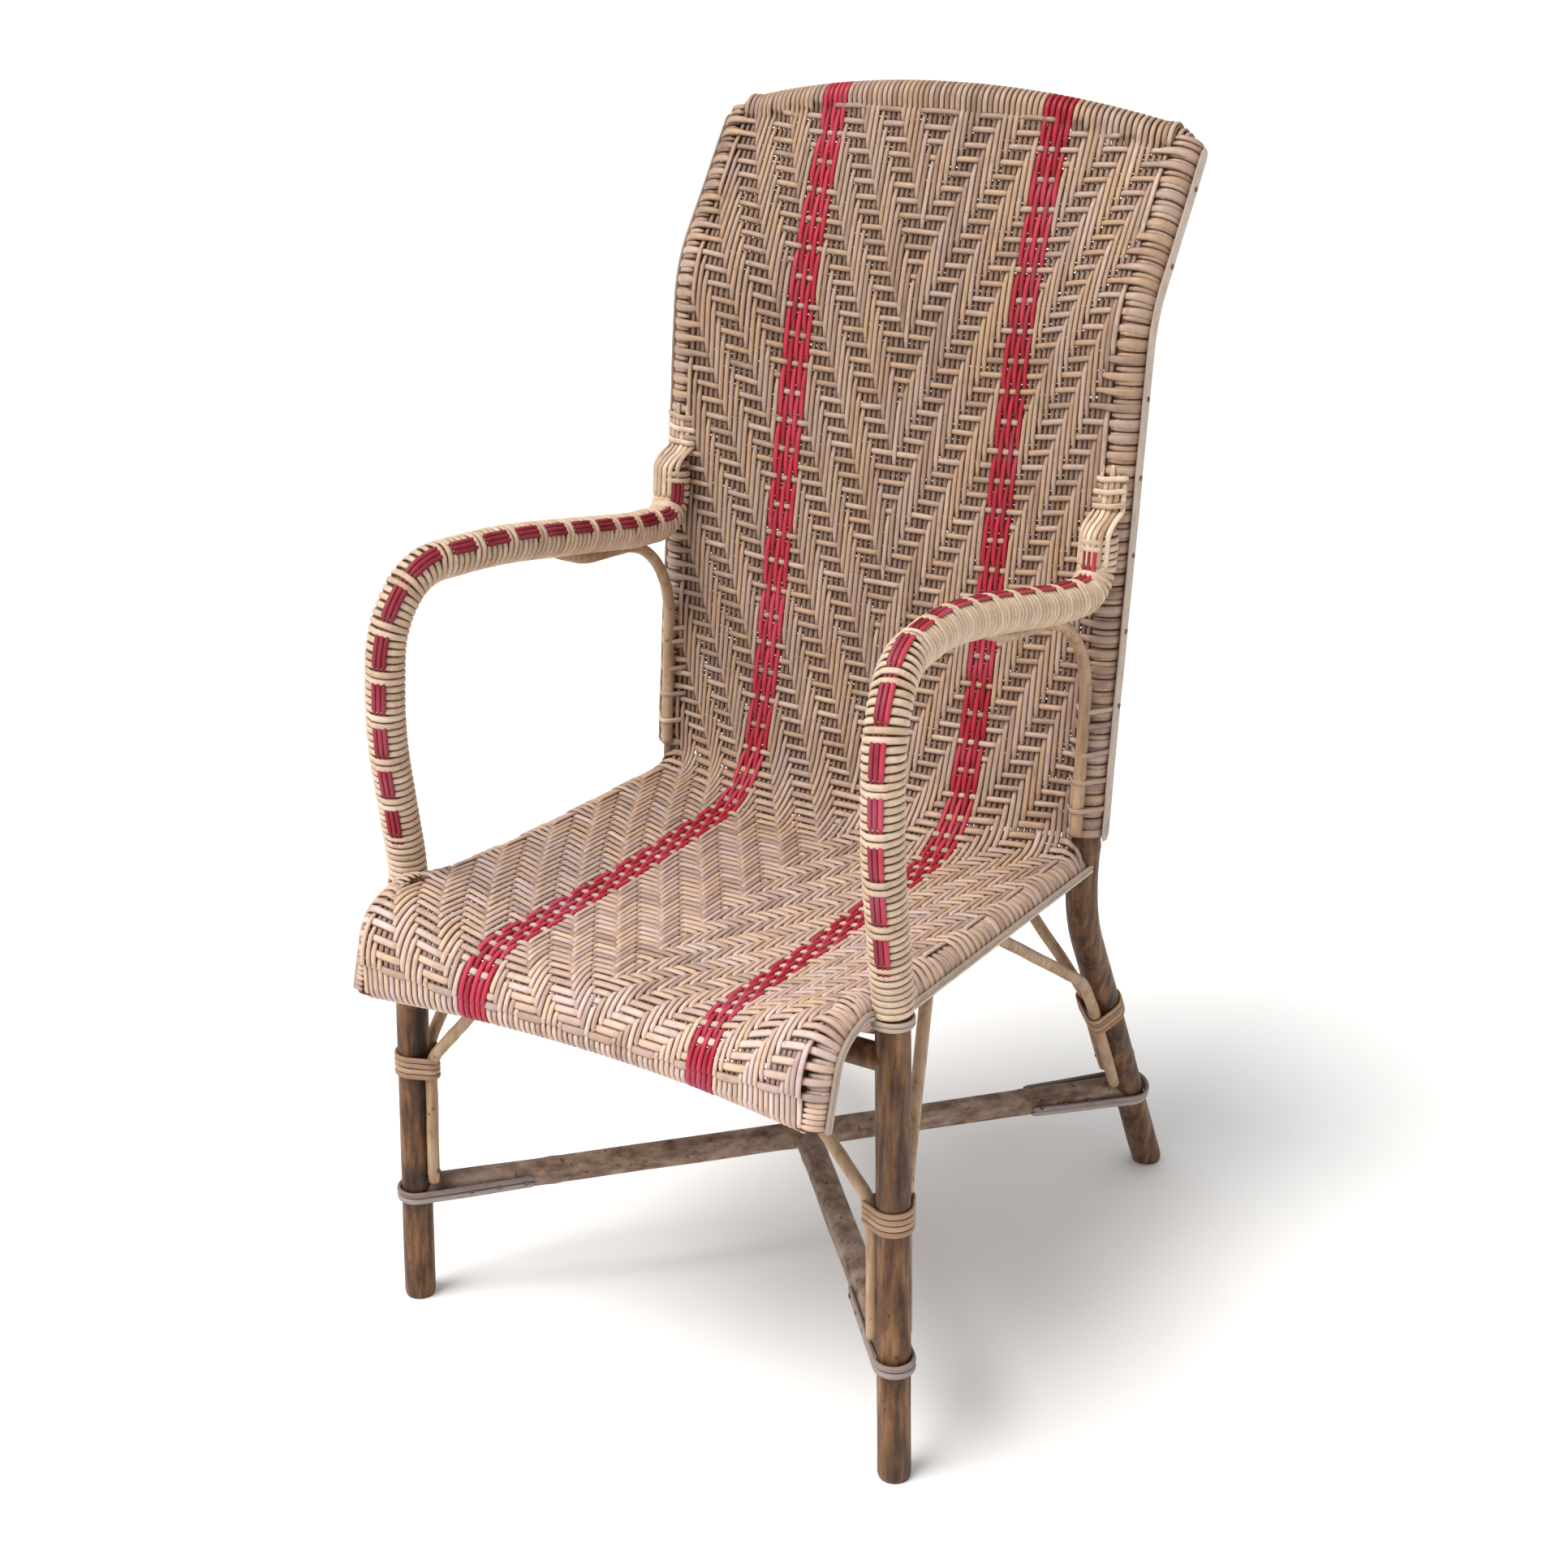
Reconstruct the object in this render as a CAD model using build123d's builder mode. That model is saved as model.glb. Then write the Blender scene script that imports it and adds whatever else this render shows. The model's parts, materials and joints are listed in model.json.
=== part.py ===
from build123d import *
import os

os.makedirs("parts", exist_ok=True)

# Rattan armchair with a high woven back. Millimetres, +Z up, the front faces -Y.
# The origin lies on the floor, at the centre of the chair's outline.

# Overall sizes
front_leg_y = -250.55           # plane of the front feet, measured from the origin
seat_half_width = 213.0         # centre plane to the middle of a side rail
seat_depth = 391.0              # front legs to the rear poles at seat level
seat_height = 402.0             # floor to the middle of the side rails
arm_height = 693.0              # floor to the middle of the arm at its front bend
crest_height = 1008.0           # floor to the crest rail's corners
crest_rise = 27.0               # how far the crest arches above its corners
crest_bow = 16.0                # how far the crest bulges forward
crest_radius = 740.0            # the crest's round shoulders
corner_radius = 20.0            # where the crest turns down into the rear poles
corner_gap = 24.0               # from the crest's corner down to the top of a rear pole
flare_height = 878.0            # where the back starts to lean away
foot_splay = 13.0               # how far a front foot stands outside its leg's top
rear_foot_reach = 187.0         # how far a rear foot stands behind its pole

# Poles, rails and canes
leg_radius = 14.0
rear_pole_radius = 14.5
rail_radius = 11.0
stretcher_radius = 12.5
brace_radius = 5.5
pole_wrap = 3.0                 # cane wound over the rear poles
arm_wrap = 3.6                  # cane wound over the arms
rail_wrap = 4.0                 # cane wound over the rails
sheet_thickness = 6.0           # the weave, two canes deep
leg_notch = 1.0                 # how deep a side rail is let into a front leg
stretcher_height = 109.0
strap_height = 12.0
strap_thickness = 3.2
strap_reach = 105.0             # leg centre to the strap's ends
strap_overrun = 20.0            # the strap is drawn this much longer, then cut off square
lashing_height = 22.0
lashing_thickness = 3.0
front_lashing_z = 242.0
rear_lashing_z = 226.0
binding_thickness = 3.0
back_binding_width = 15.0
seat_binding_width = 8.0
stripe_offset = 112.0           # centre plane to the middle of a red stripe
stripe_width = 27.0
inlay_width = 12.6
inlay_thickness = 0.8
inlay_start = 40.0              # from the foot of the wound arm to the inlay
nail_radius = 1.0
nail_head_radius = 2.2
nail_head_height = 1.0
crossing_nail_length = 20.0
hole_play = 0.05                # room for a round nail beside the wood

# Places that follow from them
leg_x = seat_half_width + rail_radius + leg_radius - leg_notch
pole_x = seat_half_width + 5
rail_top = rail_radius + rail_wrap
pole_outer = rear_pole_radius + pole_wrap
arm_outer = leg_radius + arm_wrap
pole_lean = 36.0 / 398.0         # how fast a rear pole leans back between seat and flare
crest_y = seat_depth + 128
front_rail_z = seat_height - 40
front_rail_y = -77.0
front_rail_bow = 20.0
cross_rail_z = seat_height - 22
roll_radius = 48.0              # the rounded front of the seat
tuck = 1.0                      # the weave lies this much inside the wound edges
sheet_overrun = 7.0             # the sheet is drawn this much past the crest, then trimmed


def at(x, y, z):
    """A point given from the centre plane, the front legs and the floor."""
    return Vector(x, front_leg_y + y, z)


def side_plane(x):
    """The vertical plane at x, drawn with y to the right and z up."""
    return Plane(origin=at(x, 0, 0), x_dir=(0, 1, 0), z_dir=(1, 0, 0))


def floor_plane(z):
    """The level plane at height z, drawn with x to the right and y up."""
    return Plane(origin=at(0, 0, z), x_dir=(1, 0, 0), z_dir=(0, 0, 1))


def bar(points, bends, radius):
    """Sweep a round pole along straight runs joined by arcs, in the open part."""
    with BuildLine() as route:
        if len(points) > 2:
            FilletPolyline(*points, radius=bends)
        else:
            Line(*points)
    with BuildSketch(Plane(origin=route.line @ 0, z_dir=route.line % 0)) as section:
        Circle(radius)
    sweep(section.sketch, path=route.line)


def solid_bar(points, bends, radius):
    """A pole or a wound sleeve's outside as a part of its own."""
    with BuildPart() as piece:
        bar(points, bends, radius)
    return piece.part


def pole_y(z):
    """Where a rear pole's middle stands at height z, between the seat and the flare."""
    return seat_depth + 1 + pole_lean * (z - seat_height - 78)


def along(start, end, share):
    """The point at a share of the way from start to end."""
    return start + (end - start) * share


def save(piece, label):
    """Label a finished part and write its STEP file."""
    piece.part.label = label
    export_step(piece.part, f"parts/{label}.step")


# Routes of the right-hand members
below_floor = 30.0
arm_seating = rear_pole_radius + leg_radius - 0.5
front_foot = at(leg_x + foot_splay, 0, 0)
leg_head = at(leg_x, 3, seat_height + 30)
leg_start = along(leg_head, front_foot, 1 + below_floor / leg_head.Z)
arm_front = arm_height - seat_height
arm_route = [
    leg_start,
    leg_head,
    at(leg_x - 1, -17, seat_height + 0.54 * arm_front),
    at(leg_x - 4, -12, arm_height - 45),
    at(leg_x - 11, 20, arm_height),
    at(leg_x - 25, 0.29 * seat_depth, arm_height - 1),
    at(leg_x - 28, 0.52 * seat_depth, arm_height - 16),
    at(pole_x - 4, 0.79 * seat_depth, arm_height - 36),
    at(pole_x, pole_y(arm_height - 43) - arm_seating, arm_height - 43),
    at(pole_x, pole_y(arm_height + 7) - arm_seating, arm_height + 7),
]
arm_bends = [180, 350, 90, 50, 1.023 * seat_depth, 1.535 * seat_depth, 0.563 * seat_depth, 27]

rear_knee = at(pole_x, seat_depth - 8, seat_height - 50)
rear_foot = at(pole_x + 4, seat_depth + rear_foot_reach, 0)
rear_start = along(rear_knee, rear_foot, 1 + below_floor / rear_knee.Z)
seat_node = at(pole_x, seat_depth + 1, seat_height + 78)
flare = at(pole_x, pole_y(flare_height), flare_height)
crest_corner = at(pole_x, crest_y, crest_height)
pole_top = along(crest_corner, flare, corner_gap / (crest_corner - flare).length)
rear_route = [rear_start, rear_knee, seat_node, flare, pole_top]
rear_bends = [150, 500, 120]

crest_top = crest_height + crest_rise
crest_knee_x = 0.46 * pole_x
crest_knee = at(crest_knee_x, crest_y - crest_bow, crest_top)


def mirrored(point):
    """The same point on the left-hand side."""
    return Vector(-point.X, point.Y, point.Z)


crest_route = [
    pole_top,
    crest_corner,
    crest_knee,
    mirrored(crest_knee),
    mirrored(crest_corner),
    mirrored(pole_top),
]
crest_bends = [corner_radius, crest_radius, crest_radius, corner_radius]

side_rail_route = [
    at(seat_half_width, seat_depth, seat_height - 6),
    at(seat_half_width, 20, seat_height + 1),
    at(seat_half_width, -22, seat_height + 24),
    at(seat_half_width, -62, seat_height + 11),
    at(seat_half_width, front_rail_y - 2, front_rail_z - rail_radius),
]
side_rail_bends = [40, 25, 35]

# Poles
with BuildPart() as rear_pole_right:
    bar(rear_route, rear_bends, rear_pole_radius)
    split(bisect_by=Plane.XY, keep=Keep.TOP)

with BuildPart() as front_leg_arm_pole_right:
    bar(arm_route, arm_bends, leg_radius)
    split(bisect_by=Plane.XY, keep=Keep.TOP)
    add(rear_pole_right.part, mode=Mode.SUBTRACT)

with BuildPart() as crest_rail:
    bar(crest_route, crest_bends, rail_radius)
    add(rear_pole_right.part, mode=Mode.SUBTRACT)
    mirror(rear_pole_right.part, about=Plane.YZ, mode=Mode.SUBTRACT)

# Seat frame
with BuildPart() as seat_side_rail_right:
    bar(side_rail_route, side_rail_bends, rail_radius)
    add(front_leg_arm_pole_right.part, mode=Mode.SUBTRACT)
    add(rear_pole_right.part, mode=Mode.SUBTRACT)

with BuildPart() as seat_front_rail:
    with BuildLine() as front_rail_line:
        ThreePointArc(
            at(-seat_half_width, front_rail_y, front_rail_z),
            at(0, front_rail_y + front_rail_bow, front_rail_z),
            at(seat_half_width, front_rail_y, front_rail_z),
        )
    with BuildSketch(Plane(origin=front_rail_line.line @ 0, z_dir=front_rail_line.line % 0)):
        Circle(rail_radius)
    sweep(path=front_rail_line.line)
    add(seat_side_rail_right.part, mode=Mode.SUBTRACT)
    mirror(seat_side_rail_right.part, about=Plane.YZ, mode=Mode.SUBTRACT)

with BuildPart() as seat_cross_rail:
    bar([at(-leg_x, 0, cross_rail_z), at(leg_x, 0, cross_rail_z)], None, rail_radius)
    add(front_leg_arm_pole_right.part, mode=Mode.SUBTRACT)
    mirror(front_leg_arm_pole_right.part, about=Plane.YZ, mode=Mode.SUBTRACT)

rear_rail_z = seat_height - 6
with BuildPart() as seat_rear_rail:
    rear_rail_end = at(pole_x, seat_depth - 7, rear_rail_z)
    bar([mirrored(rear_rail_end), rear_rail_end], None, rail_radius)
    add(rear_pole_right.part, mode=Mode.SUBTRACT)
    add(seat_side_rail_right.part, mode=Mode.SUBTRACT)
    mirror(rear_pole_right.part, about=Plane.YZ, mode=Mode.SUBTRACT)
    mirror(seat_side_rail_right.part, about=Plane.YZ, mode=Mode.SUBTRACT)


# X-shaped stretchers, halved into each other where they cross
def leg_at(z):
    """The middle of the right front leg at height z."""
    return along(front_foot, leg_head, z / leg_head.Z)


def rear_leg_at(z):
    """The middle of the right rear leg at height z."""
    return along(rear_foot, rear_knee, z / rear_knee.Z)


front_joint = leg_at(stretcher_height)
rear_joint = rear_leg_at(stretcher_height)
lower_outline = solid_bar([front_joint, mirrored(rear_joint)], None, stretcher_radius)
upper_outline = solid_bar([mirrored(front_joint), rear_joint], None, stretcher_radius)
halving_plane = Plane.XY.offset(stretcher_height)

with BuildPart() as upper_half:
    add(upper_outline)
    split(bisect_by=halving_plane, keep=Keep.TOP)

with BuildPart() as lower_half:
    add(lower_outline)
    split(bisect_by=halving_plane, keep=Keep.BOTTOM)

share_to_cross = front_joint.X / (front_joint.X + rear_joint.X)
crossing = along(front_joint, mirrored(rear_joint), share_to_cross)

with BuildPart() as crossing_nail:
    with Locations(crossing + Vector(0, 0, stretcher_radius)):
        Cylinder(nail_head_radius, nail_head_height, align=(Align.CENTER, Align.CENTER, Align.MIN))
        Cylinder(nail_radius, crossing_nail_length, align=(Align.CENTER, Align.CENTER, Align.MAX))

with BuildPart() as stretcher_lower:
    add(lower_outline)
    add(upper_half.part, mode=Mode.SUBTRACT)
    add(front_leg_arm_pole_right.part, mode=Mode.SUBTRACT)
    mirror(rear_pole_right.part, about=Plane.YZ, mode=Mode.SUBTRACT)
    add(crossing_nail.part, mode=Mode.SUBTRACT)

with BuildPart() as stretcher_upper:
    add(upper_outline)
    add(lower_half.part, mode=Mode.SUBTRACT)
    mirror(front_leg_arm_pole_right.part, about=Plane.YZ, mode=Mode.SUBTRACT)
    add(rear_pole_right.part, mode=Mode.SUBTRACT)
    add(crossing_nail.part, mode=Mode.SUBTRACT)

# Braces: each runs down beside its leg, and bends away to a rail
front_beside = leg_radius + brace_radius
rear_beside = rear_pole_radius + brace_radius
rear_forward = Vector(1, 0, 0).cross((rear_knee - rear_foot).normalized()) * rear_beside
brace_foot_z = stretcher_height + stretcher_radius + 3
inward = Vector(-1, 0, 0)
backward = Vector(0, 1, 0)

with BuildPart() as front_brace_inner_right:
    bar(
        [
            leg_at(brace_foot_z) + inward * front_beside,
            leg_at(front_lashing_z + 6) + inward * front_beside,
            at(0.47 * leg_x, 0, cross_rail_z),
        ],
        [40],
        brace_radius,
    )
    add(seat_cross_rail.part, mode=Mode.SUBTRACT)
    add(front_leg_arm_pole_right.part, mode=Mode.SUBTRACT)

with BuildPart() as front_brace_side_right:
    bar(
        [
            leg_at(brace_foot_z) + backward * front_beside,
            leg_at(front_lashing_z + 6) + backward * front_beside,
            at(seat_half_width, 0.27 * seat_depth, seat_height - 2),
        ],
        [60],
        brace_radius,
    )
    add(seat_side_rail_right.part, mode=Mode.SUBTRACT)
    add(front_leg_arm_pole_right.part, mode=Mode.SUBTRACT)

with BuildPart() as rear_brace_side_right:
    bar(
        [
            rear_leg_at(brace_foot_z + 14) + rear_forward,
            rear_leg_at(rear_lashing_z + 22) + rear_forward,
            at(seat_half_width + 8, seat_depth + 3, rear_lashing_z + 50),
            at(seat_half_width, 0.53 * seat_depth, seat_height - 3),
        ],
        [45, 120],
        brace_radius,
    )
    add(seat_side_rail_right.part, mode=Mode.SUBTRACT)
    add(rear_pole_right.part, mode=Mode.SUBTRACT)

with BuildPart() as rear_brace_inner_right:
    bar(
        [
            rear_leg_at(brace_foot_z + 8) + inward * rear_beside,
            rear_leg_at(rear_lashing_z + 14) + inward * rear_beside,
            at(0.55 * pole_x, seat_depth - 7, rear_rail_z),
        ],
        [40],
        brace_radius,
    )
    add(seat_rear_rail.part, mode=Mode.SUBTRACT)
    add(rear_pole_right.part, mode=Mode.SUBTRACT)

arm_brace_foot_z = seat_height + 28
arm_brace_head_z = arm_height - 43
with BuildPart() as arm_brace_right:
    bar(
        [
            at(pole_x - 9, 0.58 * seat_depth, arm_brace_head_z),
            at(pole_x - 1, pole_y(arm_brace_head_z) - rear_beside - 9, arm_height - 57),
            at(pole_x, pole_y(arm_brace_foot_z) - rear_beside, arm_brace_foot_z),
        ],
        [88],
        brace_radius,
    )
    add(front_leg_arm_pole_right.part, mode=Mode.SUBTRACT)
    add(rear_pole_right.part, mode=Mode.SUBTRACT)


# Straps: one round each foot, nailed to both sides of its stretcher
def strap(joint, far_joint, leg_axis, leg_part, leg_size, slack, pole_part):
    """A cane bent round a leg and laid along a stretcher."""
    reach = (far_joint - joint).normalized()
    upright = (leg_axis - reach * leg_axis.dot(reach)).normalized()
    plane = Plane(origin=joint, x_dir=reach, z_dir=upright)
    tail = strap_reach + strap_overrun
    with BuildPart() as piece:
        with BuildSketch(plane) as outside:
            with Locations((-slack, 0)):
                Circle(leg_size + slack + strap_thickness)
            with Locations((tail, 0)):
                Circle(stretcher_radius + strap_thickness)
            make_hull()
        extrude(outside.sketch, amount=strap_height / 2, both=True)
        with BuildSketch(plane) as inside:
            with Locations((-slack, 0)):
                Circle(leg_size + slack)
            with Locations((tail, 0)):
                Circle(stretcher_radius)
            make_hull()
            with Locations((strap_reach, 0)):
                Rectangle(tail, 4 * leg_size, align=(Align.MIN, Align.CENTER))
        extrude(inside.sketch, amount=strap_height, both=True, mode=Mode.SUBTRACT)
        add(leg_part, mode=Mode.SUBTRACT)
        add(pole_part, mode=Mode.SUBTRACT)
    return piece


front_axis = (leg_head - front_foot).normalized()
rear_axis = (rear_knee - rear_foot).normalized()
front_strap_right = strap(
    front_joint, mirrored(rear_joint), front_axis, front_leg_arm_pole_right.part,
    leg_radius, 0.5, lower_outline,
)
rear_strap_right = strap(
    rear_joint, mirrored(front_joint), rear_axis, rear_pole_right.part,
    rear_pole_radius, 1.6, upper_outline,
)


# Lashings: four turns of cane round a leg and its two braces
def lashing(plane, leg_size, beside, leg_part, first_brace, second_brace):
    """A band round a leg and the two canes that lie on it."""
    with BuildPart() as piece:
        with BuildSketch(plane) as outside:
            Circle(leg_size + lashing_thickness)
            with Locations((-beside, 0), (0, beside)):
                Circle(brace_radius + lashing_thickness)
            make_hull()
        extrude(outside.sketch, amount=lashing_height / 2, both=True)
        with BuildSketch(plane) as inside:
            Circle(leg_size)
            with Locations((-beside, 0), (0, beside)):
                Circle(brace_radius)
            make_hull()
        extrude(inside.sketch, amount=lashing_height, both=True, mode=Mode.SUBTRACT)
        add(leg_part, mode=Mode.SUBTRACT)
        add(first_brace, mode=Mode.SUBTRACT)
        add(second_brace, mode=Mode.SUBTRACT)
    return piece


front_lashing_plane = Plane(leg_at(front_lashing_z), x_dir=(1, 0, 0), z_dir=front_axis)
rear_lashing_plane = Plane(rear_leg_at(rear_lashing_z), x_dir=(1, 0, 0), z_dir=-rear_axis)
front_lashing_right = lashing(
    front_lashing_plane, leg_radius, front_beside, front_leg_arm_pole_right.part,
    front_brace_inner_right.part, front_brace_side_right.part,
)
rear_lashing_right = lashing(
    rear_lashing_plane, rear_pole_radius, rear_beside, rear_pole_right.part,
    rear_brace_inner_right.part, rear_brace_side_right.part,
)


# Wound edges: cane wrapped round the poles and rails that the sheet hangs from
ring_z = seat_height + 12
with BuildPart() as back_edge_wrap_right:
    bar(rear_route, rear_bends, pole_outer)
    split(bisect_by=Plane.XY.offset(ring_z), keep=Keep.TOP)
    add(rear_pole_right.part, mode=Mode.SUBTRACT)
    add(front_leg_arm_pole_right.part, mode=Mode.SUBTRACT)
    add(arm_brace_right.part, mode=Mode.SUBTRACT)

with BuildPart() as crest_wrap:
    bar(crest_route, crest_bends, rail_top)
    add(crest_rail.part, mode=Mode.SUBTRACT)
    add(rear_pole_right.part, mode=Mode.SUBTRACT)
    add(back_edge_wrap_right.part, mode=Mode.SUBTRACT)
    mirror(rear_pole_right.part, about=Plane.YZ, mode=Mode.SUBTRACT)
    mirror(back_edge_wrap_right.part, about=Plane.YZ, mode=Mode.SUBTRACT)

with BuildPart() as side_rail_wrap_right:
    bar(side_rail_route, side_rail_bends, rail_top)
    add(seat_side_rail_right.part, mode=Mode.SUBTRACT)
    add(front_leg_arm_pole_right.part, mode=Mode.SUBTRACT)
    add(rear_pole_right.part, mode=Mode.SUBTRACT)
    add(back_edge_wrap_right.part, mode=Mode.SUBTRACT)
    add(seat_rear_rail.part, mode=Mode.SUBTRACT)
    add(seat_cross_rail.part, mode=Mode.SUBTRACT)
    add(arm_brace_right.part, mode=Mode.SUBTRACT)
    add(front_brace_side_right.part, mode=Mode.SUBTRACT)
    add(rear_brace_side_right.part, mode=Mode.SUBTRACT)
    add(seat_front_rail.part, mode=Mode.SUBTRACT)

with BuildPart() as front_edge_wrap:
    with BuildSketch(Plane(origin=front_rail_line.line @ 0, z_dir=front_rail_line.line % 0)):
        Circle(rail_top)
        Circle(rail_radius, mode=Mode.SUBTRACT)
    sweep(path=front_rail_line.line)
    add(seat_side_rail_right.part, mode=Mode.SUBTRACT)
    add(side_rail_wrap_right.part, mode=Mode.SUBTRACT)
    mirror(seat_side_rail_right.part, about=Plane.YZ, mode=Mode.SUBTRACT)
    mirror(side_rail_wrap_right.part, about=Plane.YZ, mode=Mode.SUBTRACT)

wrap_foot_z = ring_z + seat_binding_width / 2
pole_line = (flare - seat_node).normalized()
pole_face = Vector(1, 0, 0).cross(pole_line) * (pole_outer + hole_play)
pole_front = Plane(seat_node + pole_face, z_dir=-Vector(1, 0, 0).cross(pole_line))
with BuildPart() as arm_wrap_right:
    bar(arm_route, arm_bends, arm_outer)
    split(bisect_by=Plane.XY.offset(wrap_foot_z), keep=Keep.TOP)
    split(bisect_by=pole_front, keep=Keep.BOTTOM)
    add(front_leg_arm_pole_right.part, mode=Mode.SUBTRACT)
    add(seat_side_rail_right.part, mode=Mode.SUBTRACT)
    add(side_rail_wrap_right.part, mode=Mode.SUBTRACT)
    add(arm_brace_right.part, mode=Mode.SUBTRACT)

# Red inlay on the outside of each arm's bend
inlay_outline = solid_bar(arm_route, arm_bends, arm_outer)
with BuildPart() as arm_inlay_right:
    with BuildLine() as arm_line:
        FilletPolyline(*arm_route, radius=arm_bends)
    with BuildSketch(Plane(arm_line.line @ 0, x_dir=(1, 0, 0), z_dir=arm_line.line % 0)):
        with Locations((0, -arm_outer)):
            Rectangle(inlay_width, 2 * inlay_thickness)
    sweep(path=arm_line.line)
    add(inlay_outline, mode=Mode.SUBTRACT)
    split(bisect_by=Plane.XY.offset(wrap_foot_z + inlay_start), keep=Keep.TOP)
    add(rear_pole_right.part, mode=Mode.SUBTRACT)
    add(back_edge_wrap_right.part, mode=Mode.SUBTRACT)


# The woven sheet, in fields that share their edges
def section(x, points, bends):
    """The sheet's thin outline at x, from the crest down the back and over the seat."""
    with BuildSketch(side_plane(x)) as outline:
        with BuildLine():
            FilletPolyline(*points, radius=bends)
            offset(amount=sheet_thickness, side=Side.LEFT)
        make_face()
    return outline.sketch


edge_bends = [136, 500, 22, 2000, roll_radius]
field_bends = [600, 500, 75, 2000, roll_radius]
sheet_front_y = front_rail_y - rail_top + tuck
edge_line = [
    (crest_y + 2, crest_top + sheet_overrun),
    (pole_y(flare_height) - pole_outer + tuck, flare_height + 5),
    (pole_y(seat_height + 82) - pole_outer + tuck, seat_height + 82),
    (seat_depth - 20, seat_height + 9),
    (0.33 * seat_depth, seat_height + 14),
    (sheet_front_y, seat_height + 37),
    (sheet_front_y, front_rail_z - rail_top),
]
stripe_front_y = sheet_front_y + 0.72 * front_rail_bow
stripe_line = [
    (crest_y - 21, crest_top + sheet_overrun),
    (seat_depth + 47, flare_height + 2),
    (seat_depth - 17, seat_height + 110),
    (seat_depth - 49, seat_height + 7),
    (0.33 * seat_depth, seat_height),
    (stripe_front_y, seat_height + 5),
    (stripe_front_y, front_rail_z - rail_top),
]
centre_front_y = sheet_front_y + front_rail_bow
centre_line = [
    (crest_y - 28, crest_top + sheet_overrun),
    (seat_depth + 49, flare_height + 2),
    (seat_depth - 11, seat_height + 118),
    (seat_depth - 46, seat_height + 3),
    (0.33 * seat_depth, seat_height - 4),
    (centre_front_y, seat_height),
    (centre_front_y, front_rail_z - rail_top),
]
sheet_side_x = seat_half_width - 9
stripe_outer_x = stripe_offset + stripe_width / 2
stripe_inner_x = stripe_offset - stripe_width / 2

with BuildPart() as above_crest:
    with BuildSketch(Plane(origin=at(0, 0, 0), x_dir=(1, 0, 0), z_dir=(0, -1, 0))):
        with BuildLine():
            Polyline(
                (-2 * pole_x, crest_height),
                (-pole_x, crest_height),
                (-crest_knee_x, crest_top),
                (crest_knee_x, crest_top),
                (pole_x, crest_height),
                (2 * pole_x, crest_height),
                (2 * pole_x, 2 * crest_top),
                (-2 * pole_x, 2 * crest_top),
                close=True,
            )
        make_face()
    extrude(amount=3 * seat_depth, both=True)

with BuildPart() as weave_right:
    loft(
        [
            section(stripe_outer_x, stripe_line, field_bends),
            section(sheet_side_x, edge_line, edge_bends),
        ],
        ruled=True,
    )
    add(above_crest.part, mode=Mode.SUBTRACT)
    add(crest_wrap.part, mode=Mode.SUBTRACT)
    add(crest_rail.part, mode=Mode.SUBTRACT)
    add(back_edge_wrap_right.part, mode=Mode.SUBTRACT)
    add(side_rail_wrap_right.part, mode=Mode.SUBTRACT)
    add(front_edge_wrap.part, mode=Mode.SUBTRACT)
    add(seat_front_rail.part, mode=Mode.SUBTRACT)
    add(seat_side_rail_right.part, mode=Mode.SUBTRACT)
    add(rear_pole_right.part, mode=Mode.SUBTRACT)
    add(front_leg_arm_pole_right.part, mode=Mode.SUBTRACT)
    add(arm_wrap_right.part, mode=Mode.SUBTRACT)
    add(arm_brace_right.part, mode=Mode.SUBTRACT)

with BuildPart() as red_stripe_right:
    loft(
        [
            section(stripe_inner_x, stripe_line, field_bends),
            section(stripe_outer_x, stripe_line, field_bends),
        ],
        ruled=True,
    )
    add(above_crest.part, mode=Mode.SUBTRACT)
    add(crest_wrap.part, mode=Mode.SUBTRACT)
    add(crest_rail.part, mode=Mode.SUBTRACT)
    add(seat_front_rail.part, mode=Mode.SUBTRACT)
    add(front_edge_wrap.part, mode=Mode.SUBTRACT)

with BuildPart() as weave_centre:
    loft(
        [
            section(-stripe_inner_x, stripe_line, field_bends),
            section(0, centre_line, field_bends),
            section(stripe_inner_x, stripe_line, field_bends),
        ],
        ruled=True,
    )
    add(above_crest.part, mode=Mode.SUBTRACT)
    add(crest_wrap.part, mode=Mode.SUBTRACT)
    add(crest_rail.part, mode=Mode.SUBTRACT)
    add(seat_front_rail.part, mode=Mode.SUBTRACT)
    add(front_edge_wrap.part, mode=Mode.SUBTRACT)


def trimmed(field):
    """A field of the sheet without the offcuts beyond the rails it ends on."""
    return field.part.solids().sort_by(SortBy.VOLUME)[-1]


# Bindings: flat cane laid along the outside of the back and of the seat
def strip(points, bends, shift, thickness, width):
    """Sweep a flat strip beside a route, shifted outwards along X, in the open part."""
    with BuildLine() as route:
        FilletPolyline(*[point + Vector(shift, 0, 0) for point in points], radius=bends)
    start = Plane(route.line @ 0, x_dir=(1, 0, 0), z_dir=route.line % 0)
    with BuildSketch(start) as flat:
        Rectangle(thickness, width)
    sweep(flat.sketch, path=route.line)


back_binding_foot = along(seat_node, rear_knee, 0.45)
tack_pitch = 66.0
tack_x = pole_x + pole_outer + hole_play + binding_thickness
binding_reach = flare_height - seat_height - 50
tack_count = int(binding_reach / tack_pitch)
tack_spots = [along(flare, seat_node, step / tack_count) for step in range(1, tack_count)]
tack_spots += [along(flare, crest_corner, share) for share in (0.3, 0.75)]
with BuildPart() as back_binding_tacks_right:
    for spot in tack_spots:
        with Locations(Plane((tack_x, spot.Y, spot.Z), z_dir=(1, 0, 0))):
            Cylinder(nail_head_radius, nail_head_height, align=(Align.CENTER, Align.CENTER, Align.MIN))

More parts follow.
